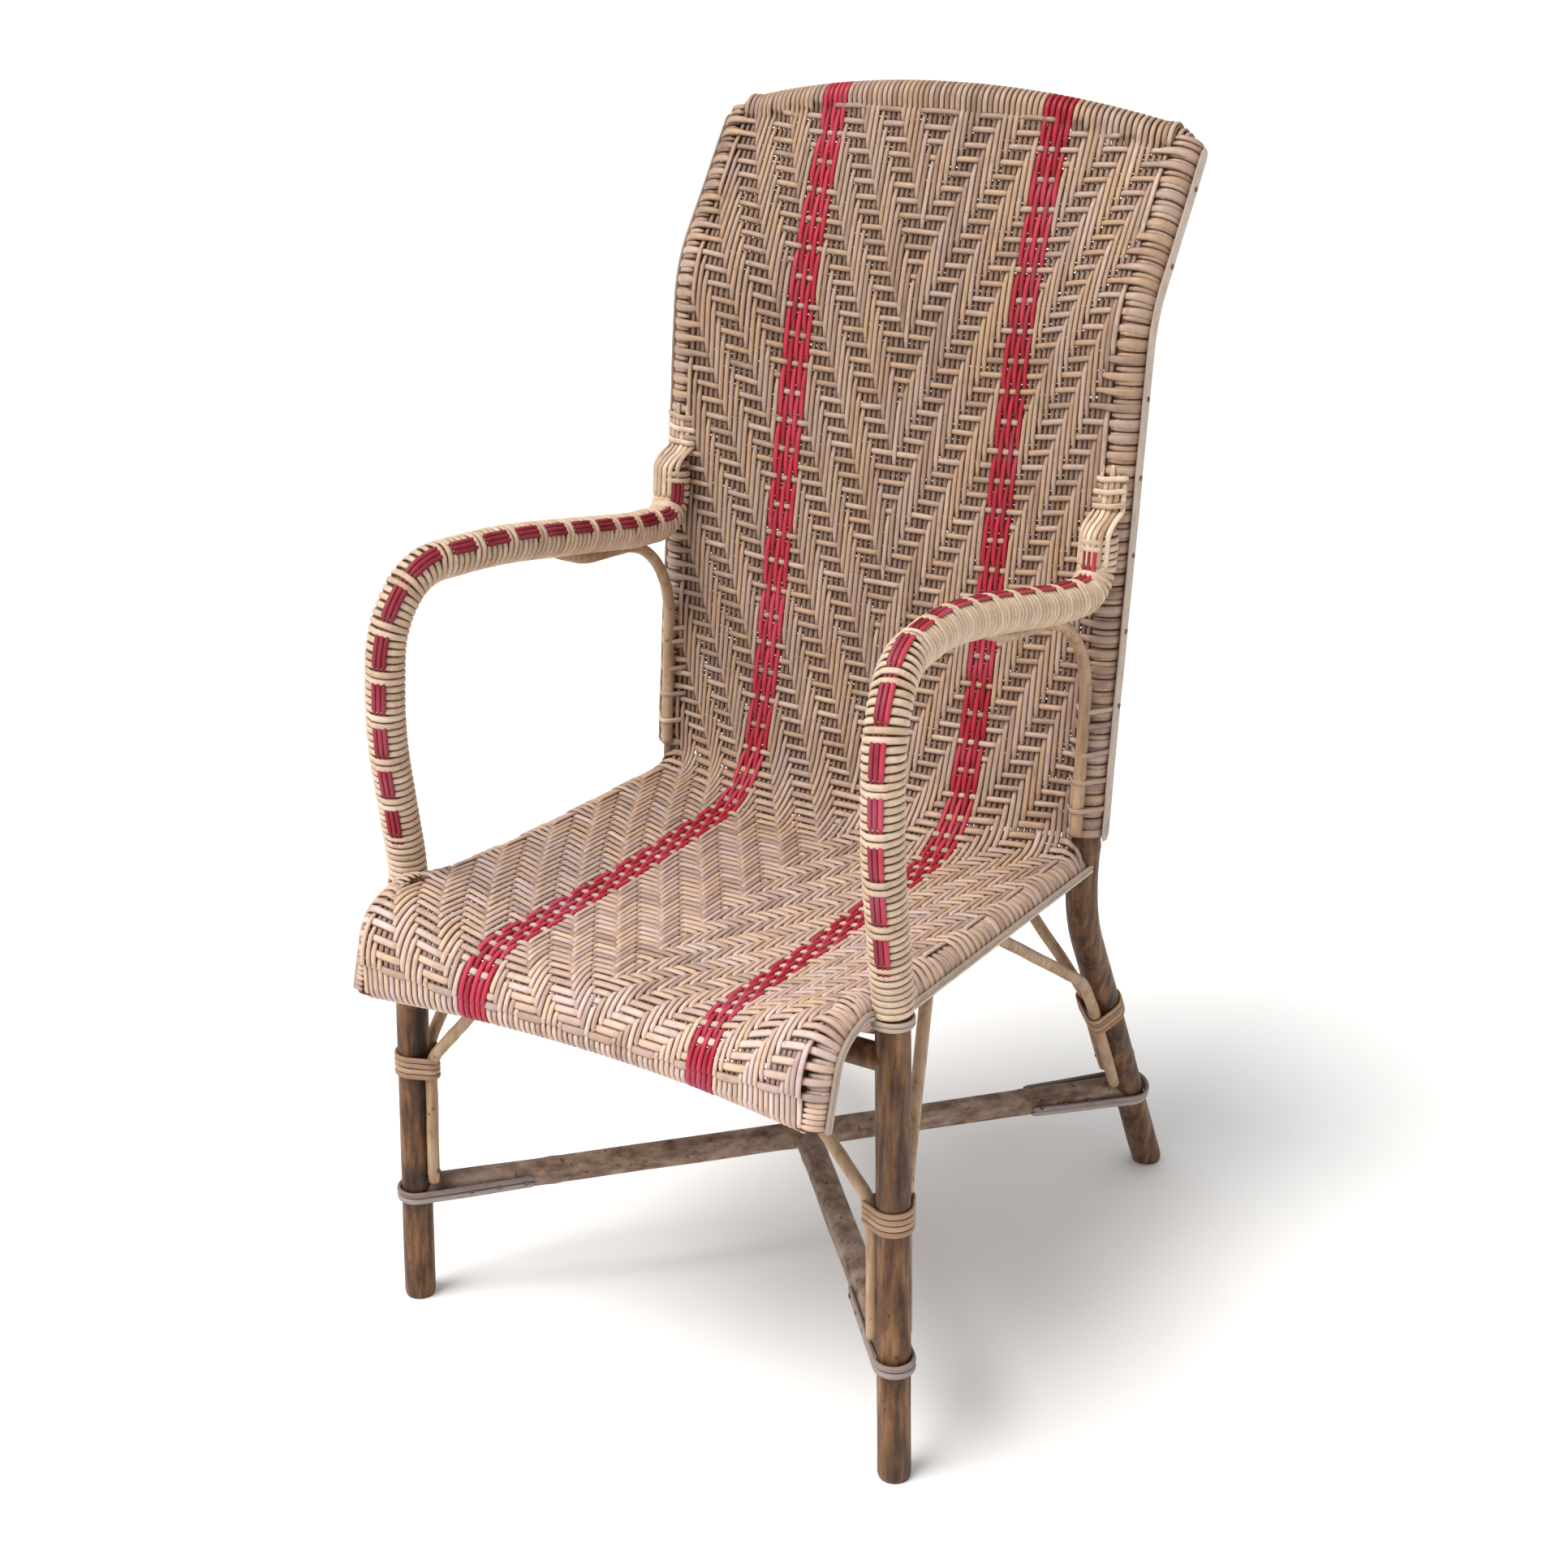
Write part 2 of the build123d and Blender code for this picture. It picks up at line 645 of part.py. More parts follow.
with BuildPart() as back_binding_right:
    strip(
        [back_binding_foot, seat_node, flare, along(flare, crest_corner, 0.98)],
        [500, 120],
        pole_outer + hole_play + binding_thickness / 2,
        binding_thickness,
        back_binding_width,
    )
    add(side_rail_wrap_right.part, mode=Mode.SUBTRACT)
    add(back_edge_wrap_right.part, mode=Mode.SUBTRACT)

with BuildPart() as seat_binding_right:
    strip(
        side_rail_route,
        side_rail_bends,
        rail_top + hole_play + binding_thickness / 2,
        binding_thickness,
        seat_binding_width,
    )
    with BuildSketch(floor_plane(ring_z)) as ring:
        with Locations((leg_x, 0)):
            Circle(leg_radius + binding_thickness + 1)
            Circle(leg_radius, mode=Mode.SUBTRACT)
    extrude(ring.sketch, amount=seat_binding_width / 2, both=True)
    add(front_leg_arm_pole_right.part, mode=Mode.SUBTRACT)
    add(arm_wrap_right.part, mode=Mode.SUBTRACT)
    add(side_rail_wrap_right.part, mode=Mode.SUBTRACT)
    add(seat_side_rail_right.part, mode=Mode.SUBTRACT)
    add(rear_pole_right.part, mode=Mode.SUBTRACT)
    add(back_edge_wrap_right.part, mode=Mode.SUBTRACT)
    add(back_binding_right.part, mode=Mode.SUBTRACT)
    add(weave_right.part, mode=Mode.SUBTRACT)

# Nails through the straps, three on each side of a stretcher
strap_nail_depth = 8.0


def nail_group(joint, far_joint):
    """Round-headed nails driven level through both tails of a strap."""
    reach = (far_joint - joint).normalized()
    across = reach.cross(Vector(0, 0, 1))
    with BuildPart() as group:
        for share in (0.45, 0.68, 0.92):
            for side in (-1, 1):
                surface = stretcher_radius + strap_thickness
                spot = joint + reach * strap_reach * share + across * side * surface
                with Locations(Plane(spot, z_dir=across * side)):
                    Cylinder(
                        nail_head_radius, 2 * nail_head_height,
                        align=(Align.CENTER, Align.CENTER, Align.CENTER),
                    )
                    Cylinder(
                        nail_radius, strap_nail_depth,
                        align=(Align.CENTER, Align.CENTER, Align.MAX),
                    )
    return group


front_nails = nail_group(front_joint, mirrored(rear_joint))
rear_nails = nail_group(rear_joint, mirrored(front_joint))
with BuildPart() as strap_nails:
    add(front_nails.part)
    add(rear_nails.part)
    mirror(front_nails.part, about=Plane.YZ)
    mirror(rear_nails.part, about=Plane.YZ)

# Nails that pin the foot of each brace to its leg
with BuildPart() as brace_nails_right:
    for spot, away in (
        (leg_at(brace_foot_z + 12), inward),
        (leg_at(brace_foot_z + 12), backward),
        (rear_leg_at(brace_foot_z + 22), inward),
    ):
        beside = front_beside if spot.Y < crossing.Y else rear_beside
        with Locations(Plane(spot + away * (beside + brace_radius), z_dir=away)):
            Cylinder(
                nail_head_radius, 2 * nail_head_height,
                align=(Align.CENTER, Align.CENTER, Align.CENTER),
            )
            Cylinder(
                nail_radius, 2 * brace_radius + 5,
                align=(Align.CENTER, Align.CENTER, Align.MAX),
            )

with BuildPart() as brace_nails:
    add(brace_nails_right.part)
    mirror(brace_nails_right.part, about=Plane.YZ)

# Every wooden piece gives way to the nails that pass through it
paired = {
    "rear_pole": rear_pole_right.part - brace_nails.part - strap_nails.part,
    "front_leg_arm_pole": front_leg_arm_pole_right.part - brace_nails.part - strap_nails.part,
    "seat_side_rail": seat_side_rail_right.part,
    "front_brace_inner": front_brace_inner_right.part - brace_nails.part,
    "front_brace_side": front_brace_side_right.part - brace_nails.part,
    "rear_brace_side": rear_brace_side_right.part,
    "rear_brace_inner": rear_brace_inner_right.part - brace_nails.part,
    "arm_brace": arm_brace_right.part,
    "front_lashing": front_lashing_right.part,
    "rear_lashing": rear_lashing_right.part,
    "front_strap": front_strap_right.part - strap_nails.part,
    "rear_strap": rear_strap_right.part - strap_nails.part,
    "back_edge_wrap": back_edge_wrap_right.part,
    "side_rail_wrap": side_rail_wrap_right.part,
    "arm_wrap": arm_wrap_right.part,
    "arm_inlay": arm_inlay_right.part,
    "weave": trimmed(weave_right),
    "red_stripe": trimmed(red_stripe_right),
    "back_binding": back_binding_right.part,
    "back_binding_tacks": back_binding_tacks_right.part,
    "seat_binding": seat_binding_right.part,
}
single = {
    "crest_rail": crest_rail.part,
    "crest_wrap": crest_wrap.part,
    "seat_front_rail": seat_front_rail.part,
    "front_edge_wrap": front_edge_wrap.part,
    "seat_cross_rail": seat_cross_rail.part,
    "seat_rear_rail": seat_rear_rail.part,
    "stretcher_lower": stretcher_lower.part - strap_nails.part,
    "stretcher_upper": stretcher_upper.part - strap_nails.part,
    "crossing_nail": crossing_nail.part,
    "strap_nails": strap_nails.part,
    "brace_nails": brace_nails.part,
    "weave_centre": trimmed(weave_centre),
}

for name, shape in single.items():
    with BuildPart() as piece:
        add(shape)
    save(piece, name)

for name, shape in paired.items():
    with BuildPart() as piece:
        add(shape)
    save(piece, f"{name}_right")
    with BuildPart() as piece:
        mirror(shape, about=Plane.YZ)
    save(piece, f"{name}_left")
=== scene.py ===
import json
import math
import random

import bpy
import numpy as np
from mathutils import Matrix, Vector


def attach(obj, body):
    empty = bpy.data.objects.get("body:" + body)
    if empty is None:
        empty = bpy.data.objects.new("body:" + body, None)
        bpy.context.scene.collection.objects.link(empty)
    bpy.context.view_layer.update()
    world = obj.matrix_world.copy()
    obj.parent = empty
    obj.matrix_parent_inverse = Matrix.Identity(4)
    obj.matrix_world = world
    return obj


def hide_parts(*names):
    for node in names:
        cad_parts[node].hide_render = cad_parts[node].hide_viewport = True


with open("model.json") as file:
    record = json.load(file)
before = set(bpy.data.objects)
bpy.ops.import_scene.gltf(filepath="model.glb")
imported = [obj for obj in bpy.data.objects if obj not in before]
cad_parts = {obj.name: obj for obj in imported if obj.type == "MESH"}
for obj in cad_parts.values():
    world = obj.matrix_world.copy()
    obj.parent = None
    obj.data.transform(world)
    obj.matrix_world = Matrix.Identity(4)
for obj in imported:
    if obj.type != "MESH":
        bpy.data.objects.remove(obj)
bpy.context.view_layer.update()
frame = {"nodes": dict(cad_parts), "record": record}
record = frame["record"]
print("frame loaded with", len(frame["nodes"]), "nodes")

# Shapes are worked out in millimetres from the plane of the front feet, then moved into the frame
mountPlaces = {mount["name"]: mount["pos_m"] for mount in record["mounts"]}
legPlane = np.array([0.0, mountPlaces["front_right_foot"][1] * 1000, 0.0])
rightAndLeft = (("right", 1), ("left", -1))


def unit(vectors):
    return vectors / np.maximum(np.linalg.norm(vectors, axis=-1, keepdims=True), 1e-9)


def lengthAlong(points):
    # the line's length up to each of its points
    return np.concatenate([[0], np.cumsum(np.linalg.norm(np.diff(points, axis=0), axis=1))])


def placesAt(spots, length, points):
    # the places on a line at some lengths along it
    return np.stack([np.interp(spots, length, points[:, k]) for k in range(3)], axis=1)


def evenly(points, step):
    # the same line with points at an even spacing
    points = np.asarray(points, float)
    length = lengthAlong(points)
    count = max(2, int(round(length[-1] / step)) + 1)
    return placesAt(np.linspace(0, length[-1], count), length, points)


def bentRoute(points, bends, step=4.0):
    # straight runs joined by round bends, and the middle of each bend
    points = [np.array(p, float) for p in points]
    line, middles = [points[0]], []
    for before, corner, after, radius in zip(points, points[1:], points[2:], bends):
        back, ahead = unit(before - corner), unit(after - corner)
        half = math.acos(max(-1.0, min(1.0, float(back @ ahead)))) / 2
        turn = math.pi - 2 * half
        centre = corner + unit(back + ahead) * radius / math.sin(half)
        first = corner + back * radius / math.tan(half) - centre
        last = corner + ahead * radius / math.tan(half) - centre
        parts = max(4, int(radius * turn / 2))
        for share in np.linspace(0, 1, parts + 1):
            blend = (math.sin((1 - share) * turn) * first + math.sin(share * turn) * last) / math.sin(turn)
            line.append(centre + blend)
        middles.append(centre + unit(first + last) * radius)
    line.append(points[-1])
    return evenly(line, step), middles


def flipped(points, side):
    # the right-hand line, or its mirror image
    return np.asarray(points, float) * np.array([side, 1, 1])


def aroundFrames(line, start):
    # a direction square to the line that turns with it and never twists
    tangent = unit(np.gradient(line, axis=0))
    normals = [unit(start - tangent[0] * (start @ tangent[0]))]
    for k in range(1, len(line)):
        carried = normals[-1] - tangent[k] * (normals[-1] @ tangent[k])
        normals.append(unit(carried))
    return tangent, np.array(normals)


def wander(count, size, waves, chance):
    # a slow random drift along a strand
    spot = np.linspace(0, 1, count)
    drift = np.zeros(count)
    for wave in waves:
        drift += chance.uniform(-1, 1) * np.sin(spot * wave * 2 * math.pi + chance.uniform(0, 6.28))
    return drift * size / len(waves)


def newBundle():
    return {"points": [], "faces": [], "tone": [], "along": [], "crown": [], "count": 0}


def ringsAlong(line, across, normal, width, thick, sides):
    # an oval section at every point of the line, and the height of each of its corners
    angles = np.arange(sides) * 2 * math.pi / sides
    rise = np.sin(angles) / np.sin(angles).max()
    ring = line[:, None, :] + across[:, None, :] * (width[:, None] * np.cos(angles))[:, :, None]
    return ring + normal[:, None, :] * (thick[:, None] * rise)[:, :, None], rise


def addRings(bundle, ring, tone, along, crown, closed=False):
    # joins the sections with faces and fills open ends
    count, sides = ring.shape[:2]
    base = bundle["count"]
    near = np.arange(sides)
    far = (near + 1) % sides
    rows = np.arange(count if closed else count - 1)[:, None]
    here, there = base + rows * sides, base + (rows + 1) % count * sides
    quads = np.stack([here + near, there + near, there + far, here + far], axis=2).reshape(-1, 4)
    bundle["points"].append(ring.reshape(-1, 3))
    bundle["faces"].extend(quads.tolist())
    if not closed:
        bundle["faces"].append((base + near).tolist())
        bundle["faces"].append((base + (count - 1) * sides + near[::-1]).tolist())
    bundle["tone"].append(np.full(count * sides, tone))
    bundle["along"].append(np.repeat(along, sides))
    bundle["crown"].append(np.broadcast_to(crown, (count, sides)).reshape(-1))
    bundle["count"] += count * sides


def addStrand(bundle, path, normal, halfWidth, halfThick, tone, lift=None, sides=6, closed=False):
    # one cane: an oval section carried along the path, its flat side square to normal
    path, normal = np.asarray(path, float), np.asarray(normal, float)
    count = len(path)
    if closed:
        tangent = unit(np.roll(path, -1, 0) - np.roll(path, 1, 0))
    else:
        tangent = unit(np.gradient(path, axis=0))
    normal = unit(normal - tangent * np.sum(normal * tangent, axis=1, keepdims=True))
    width, thick = (np.broadcast_to(np.asarray(v, float), (count,)).copy() for v in (halfWidth, halfThick))
    if not closed:  # the ends taper
        width[[0, -1]] *= 0.6
        thick[[0, -1]] *= 0.6
    ring, rise = ringsAlong(path, np.cross(tangent, normal), normal, width, thick, sides)
    # lift is how high the cane lies in the weave, 1 on top; it only sets the crown, from which the cane
    # material paints shade in the low places
    raised = np.ones(count) if lift is None else np.asarray(lift, float)
    sunk = np.ones(count) if lift is None else 1 - raised  # what is low on one face is high on the other
    shown = np.where(rise[None, :] >= 0, raised[:, None], sunk[:, None])
    crown = (0.5 + 0.5 * np.abs(rise))[None, :] * (0.55 + 0.45 * shown)
    addRings(bundle, ring, tone, lengthAlong(path) * 0.001 + tone * 7.3, crown, closed)


def addPole(bundle, line, radius, chance, sides=20, levelFoot=False, crook=0.35):
    # a rattan pole: slightly crooked, with a ring scar and a swelling at every joint of the cane
    tone = chance.random()
    start = [0.0, 1.0, 0.0] if abs(unit(line[1] - line[0])[1]) < 0.8 else [0.0, 0.0, 1.0]
    tangent, normal = aroundFrames(line, np.array(start))
    across = np.cross(tangent, normal)
    count = len(line)
    length = lengthAlong(line)
    thick = radius * (1 + wander(count, 0.02, (2, 5, 9), chance))
    spot = chance.uniform(90, 200)
    while spot < length[-1]:
        thick += radius * 0.045 * np.exp(-((length - spot) / 5.5) ** 2)
        thick -= radius * 0.035 * np.exp(-((length - spot - 7) / 2.4) ** 2)
        spot += chance.uniform(190, 290)
    drift = across * wander(count, crook, (1, 3, 6), chance)[:, None]
    drift += normal * wander(count, crook, (1, 2, 5), chance)[:, None]
    line = line + drift * np.minimum(1, np.minimum(length, length[-1] - length) / 40)[:, None]
    thick[[0, -1]] *= 0.93
    ring, _ = ringsAlong(line, across, normal, thick, thick, sides)
    if levelFoot:
        for k in range(count):  # the slanting foot is sawn level with the floor
            low = ring[k, :, 2] < k * 1.2
            ring[k, low] -= tangent[k] * ((ring[k, low, 2] - k * 1.2) / tangent[k, 2])[:, None]
    addRings(bundle, ring, tone, length * 0.001 + tone * 3.1, 1.0)


def makePiece(name, bundle, finish, *stoodFor):
    # one mesh object from a bundle of canes; the finish is a material and a slot name, and the slot name is
    # not used
    material, slotName = finish
    points = (np.concatenate(bundle["points"]) + legPlane) * 0.001
    mesh = bpy.data.meshes.new(name)
    mesh.from_pydata(points.tolist(), [], bundle["faces"])
    for key in ("tone", "along", "crown"):
        layer = mesh.attributes.new(key, "FLOAT", "POINT")
        layer.data.foreach_set("value", np.concatenate(bundle[key]).astype(np.float32))
    mesh.shade_smooth()
    mesh.materials.append(material)
    piece = bpy.data.objects.new(name, mesh)
    bpy.context.collection.objects.link(piece)
    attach(piece, "root")
    if stoodFor:
        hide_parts(*stoodFor)
    print(name, len(bundle["faces"]), "faces")
    return piece


# Finishes

def startMaterial(name):
    material = bpy.data.materials.new(name)
    material.use_nodes = True
    tree = material.node_tree
    shader = tree.nodes["Principled BSDF"]
    return material, tree, shader


def feed(tree, node, *pairs):
    # each input takes a number, a colour or another node's output
    for key, value in pairs:
        if isinstance(value, (int, float)):
            node.inputs[key].default_value = value
        elif isinstance(value, tuple):
            node.inputs[key].default_value = (*value, 1)
        else:
            tree.links.new(value, node.inputs[key])


def mathNode(tree, kind, *values):
    node = tree.nodes.new("ShaderNodeMath")
    node.operation = kind
    feed(tree, node, *enumerate(values))
    return node.outputs[0]


def rampNode(tree, factor, stops):
    # a stop's value is a colour, or one number for a grey
    node = tree.nodes.new("ShaderNodeValToRGB")
    ramp = node.color_ramp
    while len(ramp.elements) < len(stops):
        ramp.elements.new(0.5)
    for element, (place, value) in zip(ramp.elements, stops):
        element.position = place
        element.color = (*value, 1) if isinstance(value, tuple) else (value, value, value, 1)
    feed(tree, node, (0, factor))
    return node.outputs[0]


def mixColours(tree, kind, factor, first, second):
    node = tree.nodes.new("ShaderNodeMix")
    node.data_type = "RGBA"
    node.blend_type = kind
    feed(tree, node, (0, factor), (6, first), (7, second))
    return node.outputs[2]


def noiseNode(tree, vector, scale, detail=4.0, rough=0.55):
    node = tree.nodes.new("ShaderNodeTexNoise")
    feed(tree, node, ("Scale", scale), ("Detail", detail), ("Roughness", rough), ("Vector", vector))
    return node.outputs["Fac"]


def attributeNode(tree, name):
    node = tree.nodes.new("ShaderNodeAttribute")
    node.attribute_name = name
    return node.outputs["Fac"]


def stained(tree, colour, noise, stops, strength, stain):
    # another colour where the noise is high
    mask = rampNode(tree, noise, [(stops[0], 0.0), (stops[1], 1.0)])
    return mixColours(tree, "MIX", mathNode(tree, "MULTIPLY", mask, strength), colour, stain)


def finishShader(tree, shader, look, colour, glossFrom, smoother, bumpFrom, distance):
    gloss = rampNode(tree, glossFrom, [(0.3, look["rough"] + 0.1), (0.7, look["rough"] - smoother)])
    bump = tree.nodes.new("ShaderNodeBump")
    feed(tree, bump, ("Strength", look["bump"]), ("Distance", distance), ("Height", bumpFrom))
    feed(
        tree, shader, ("Base Color", colour), ("Roughness", gloss),
        ("Specular IOR Level", look["shine"]), ("Normal", bump.outputs["Normal"]),
    )


def caneMaterial(name, look):
    # woven or wound cane: a tone of its own for every strand, grain along it, painted shade down its sides and
    # where it lies low in the weave
    material, tree, shader = startMaterial(name)
    place = tree.nodes.new("ShaderNodeTexCoord").outputs["Object"]
    tone, along, crown = (attributeNode(tree, key) for key in ("tone", "along", "crown"))
    patches = noiseNode(tree, place, look["patchScale"], 3.0)
    drift = mathNode(tree, "MULTIPLY_ADD", patches, look["patchShift"], -look["patchShift"] / 2)
    colour = rampNode(tree, mathNode(tree, "ADD", tone, drift), look["tones"])
    grainPlace = tree.nodes.new("ShaderNodeCombineXYZ")
    for index, (value, times) in enumerate(((along, 22.0), (crown, 2.4), (tone, 31.0))):
        feed(tree, grainPlace, (index, mathNode(tree, "MULTIPLY", value, times)))
    grain = noiseNode(tree, grainPlace.outputs[0], 3.0, 5.0, 0.6)
    fibres = rampNode(tree, grain, [(0.25, 1 - look["grain"]), (0.5, 0.97), (0.8, 1.06)])
    colour = mixColours(tree, "MULTIPLY", 1.0, colour, fibres)
    greyed = noiseNode(tree, place, look["patchScale"] * 2.7, 4.0)
    colour = stained(tree, colour, greyed, (0.45, 0.75), look["weather"], look["weatherColour"])
    specks = noiseNode(tree, place, 420.0, 2.0)
    colour = stained(tree, colour, specks, (0.68, 0.76), look["specks"], look["speckColour"])
    # painted shade: the crown attribute darkens each cane down its sides and where it lies low under other
    # canes
    paintedShade = [(0.0, look["creviceShadeColour"]), (0.3, look["sideShadeColour"]), (look["unshadedFrom"], (1, 1, 1))]
    colour = mixColours(tree, "MULTIPLY", 1.0, colour, rampNode(tree, crown, paintedShade))
    if look["bleach"]:  # paler towards the front of the seat
        split = tree.nodes.new("ShaderNodeSeparateXYZ")
        feed(tree, split, (0, place))
        depth = mathNode(tree, "ADD", split.outputs[1], 0.5)
        depth = mathNode(tree, "ADD", depth, mathNode(tree, "MULTIPLY", patches, 0.24))
        pale = rampNode(tree, depth, [(0.26, 1.0), (0.52, 0.62), (0.78, 0.0)])
        paled = mixColours(tree, "MULTIPLY", 1.0, colour, look["bleach"])
        colour = mixColours(tree, "MIX", pale, colour, paled)
    finishShader(tree, shader, look, colour, grain, 0.06, grain, 0.0006)
    return material


def poleMaterial(name, look):
    # barked or peeled pole: streaks along it, blotches and dark pits
    material, tree, shader = startMaterial(name)
    place = tree.nodes.new("ShaderNodeTexCoord").outputs["Object"]
    stretched = tree.nodes.new("ShaderNodeMapping")
    stretched.inputs["Scale"].default_value = look["stretch"]
    feed(tree, stretched, ("Vector", place))
    streaks = noiseNode(tree, stretched.outputs[0], look["streakScale"], 5.0, 0.6)
    blotches = noiseNode(tree, place, look["blotchScale"], 4.0)
    both = mathNode(
        tree, "ADD", mathNode(tree, "MULTIPLY", streaks, 0.6), mathNode(tree, "MULTIPLY", blotches, 0.4),
    )
    colour = rampNode(tree, both, look["tones"])
    pits = noiseNode(tree, place, look["pitScale"], 3.0)
    colour = stained(tree, colour, pits, (0.63, 0.72), look["pits"], look["pitColour"])
    worn = noiseNode(tree, place, look["blotchScale"] * 0.6, 5.0)
    colour = stained(tree, colour, worn, (0.5, 0.7), look["worn"], look["wornColour"])
    finishShader(tree, shader, look, colour, streaks, 0.08, both, 0.001)
    return material


naturalLook = {
    "tones": [
        (0.0, (0.17, 0.100, 0.070)),
        (0.3, (0.32, 0.205, 0.140)),
        (0.5, (0.42, 0.270, 0.165)),
        (0.72, (0.38, 0.265, 0.205)),
        (1.0, (0.58, 0.420, 0.300)),
    ],
    "patchScale": 7.0, "patchShift": 0.6, "grain": 0.36,
    "weather": 0.5, "weatherColour": (0.34, 0.245, 0.225),
    "specks": 0.7, "speckColour": (0.08, 0.04, 0.03),
    # painted shade colours for the hollows and the sides of the canes, and the crown above which no shade is
    # painted
    "creviceShadeColour": (0.07, 0.035, 0.03), "sideShadeColour": (0.26, 0.16, 0.13), "unshadedFrom": 0.84,
    "rough": 0.5, "shine": 0.4, "bump": 0.35, "bleach": (1.6, 1.74, 2.0),
}
redLook = dict(
    naturalLook,
    tones=[(0.0, (0.18, 0.003, 0.010)), (0.5, (0.35, 0.006, 0.020)), (1.0, (0.50, 0.026, 0.058))],
    grain=0.3, weather=0.3, weatherColour=(0.56, 0.13, 0.19), bleach=(1.15, 1.4, 1.5),
    specks=0.35, speckColour=(0.12, 0.01, 0.01),
    # painted shade colours for the red canes
    creviceShadeColour=(0.16, 0.03, 0.05), sideShadeColour=(0.42, 0.25, 0.28),
)
armLook = dict(
    naturalLook,
    tones=[(0.0, (0.38, 0.245, 0.145)), (0.45, (0.59, 0.425, 0.295)), (1.0, (0.78, 0.645, 0.51))],
    # the wound arm canes take painted shade below a lower crown
    weather=0.3, weatherColour=(0.52, 0.42, 0.36), unshadedFrom=0.8, bleach=None,
)
lashingLook = dict(
    naturalLook,
    tones=[(0.0, (0.16, 0.085, 0.04)), (0.45, (0.29, 0.165, 0.085)), (1.0, (0.44, 0.28, 0.165))],
    # the lashings take painted shade below a lower crown
    weather=0.25, unshadedFrom=0.75, bleach=None,
)
paleLook = dict(
    naturalLook,
    tones=[(0.0, (0.28, 0.205, 0.155)), (0.5, (0.42, 0.33, 0.265)), (1.0, (0.58, 0.485, 0.41))],
    # the weathered canes take painted shade below a lower crown
    weather=0.4, weatherColour=(0.36, 0.30, 0.285), unshadedFrom=0.7, rough=0.7, shine=0.25, bleach=None,
)
greyLook = dict(
    paleLook,
    tones=[(0.0, (0.16, 0.12, 0.11)), (0.5, (0.27, 0.21, 0.195)), (1.0, (0.42, 0.35, 0.325))],
    weatherColour=(0.27, 0.225, 0.235),
)
legLook = {
    "stretch": (1.0, 1.0, 0.12), "streakScale": 150.0, "blotchScale": 16.0, "pitScale": 160.0,
    "tones": [
        (0.38, (0.020, 0.009, 0.005)),
        (0.46, (0.065, 0.027, 0.011)),
        (0.54, (0.135, 0.058, 0.021)),
        (0.65, (0.240, 0.120, 0.050)),
    ],
    "pits": 0.8, "pitColour": (0.025, 0.012, 0.008),
    "worn": 0.25, "wornColour": (0.18, 0.11, 0.07),
    "rough": 0.48, "shine": 0.3, "bump": 0.5,
}
stretcherLook = dict(
    legLook,
    stretch=(0.3, 0.3, 1.0), streakScale=190.0, blotchScale=34.0,
    tones=[
        (0.34, (0.09, 0.055, 0.038)),
        (0.45, (0.19, 0.125, 0.088)),
        (0.54, (0.29, 0.20, 0.145)),
        (0.66, (0.42, 0.325, 0.26)),
    ],
    worn=0.45, wornColour=(0.34, 0.275, 0.25), rough=0.66, shine=0.25,
)
braceLook = dict(
    legLook,
    tones=[
        (0.30, (0.17, 0.095, 0.045)),
        (0.45, (0.32, 0.20, 0.11)),
        (0.60, (0.43, 0.295, 0.185)),
        (0.75, (0.50, 0.38, 0.27)),
    ],
    pits=0.6, worn=0.35, wornColour=(0.40, 0.33, 0.29), rough=0.5,
)
ironLook = dict(
    legLook,
    stretch=(1.0, 1.0, 1.0), streakScale=300.0,
    tones=[(0.30, (0.03, 0.02, 0.018)), (0.5, (0.09, 0.06, 0.045)), (0.7, (0.16, 0.09, 0.05))],
    worn=0.2, wornColour=(0.2, 0.16, 0.13), rough=0.6, shine=0.5,
)
caneNatural = caneMaterial("wovenCane", naturalLook), "woven_rattan"
caneRed = caneMaterial("redCane", redLook), "red_cane"
caneArm = caneMaterial("woundCane", armLook), "wound_cane"
caneLashing = caneMaterial("lashingCane", lashingLook), "wound_cane"
caneGrey = caneMaterial("greyCane", greyLook), "grey_rattan"
canePale = caneMaterial("weatheredCane", paleLook), "weathered_cane"
poleBrown = poleMaterial("legPole", legLook), "rattan_pole"
poleGrey = poleMaterial("stretcherPole", stretcherLook), "grey_rattan"
poleHoney = poleMaterial("braceCane", braceLook), "brace_cane"
ironDull = poleMaterial("dullIron", ironLook), "dark_nails"
print("finishes made")

# Routes of the poles and rails, right-hand side

def poleY(z):
    # the depth of the rear pole's middle above the seat
    return 392 + 36.0 / 398.0 * (z - 480)


rearX = 218.0
armGap = 28  # from the rear pole's middle to the middle of the arm's end
legHead = np.array([237.0, 3, 432])
frontFoot = np.array([250.0, 0, 0])
rearKnee = np.array([rearX, 383, 352])
rearFoot = np.array([222.0, 578, 0])
seatNode = np.array([rearX, 392, 480])
flarePoint = np.array([rearX, poleY(878), 878])
crestCorner = np.array([rearX, 519, 1008])
poleTop = crestCorner + unit(flarePoint - crestCorner) * 24
armPoints = [
    frontFoot, legHead, (236, -17, 559.1), (233, -12, 648), (226, 20, 693), (212, 113.4, 692),
    (209, 203.3, 677), (214, 308.9, 657), (rearX, poleY(650) - armGap, 650), (rearX, poleY(700) - armGap, 700),
]
armRoute, _ = bentRoute(armPoints, [180, 350, 90, 50, 400, 600, 220, 27])
rearRoute, _ = bentRoute([rearFoot, rearKnee, seatNode, flarePoint, poleTop], [150, 500, 120])
halfCrest = [poleTop, crestCorner, np.array([100.28, 503, 1035])]
crestPoints = halfCrest + [flipped(point, -1) for point in halfCrest[::-1]]
crestRoute, _ = bentRoute(crestPoints, [20, 740, 740, 20], 3.0)
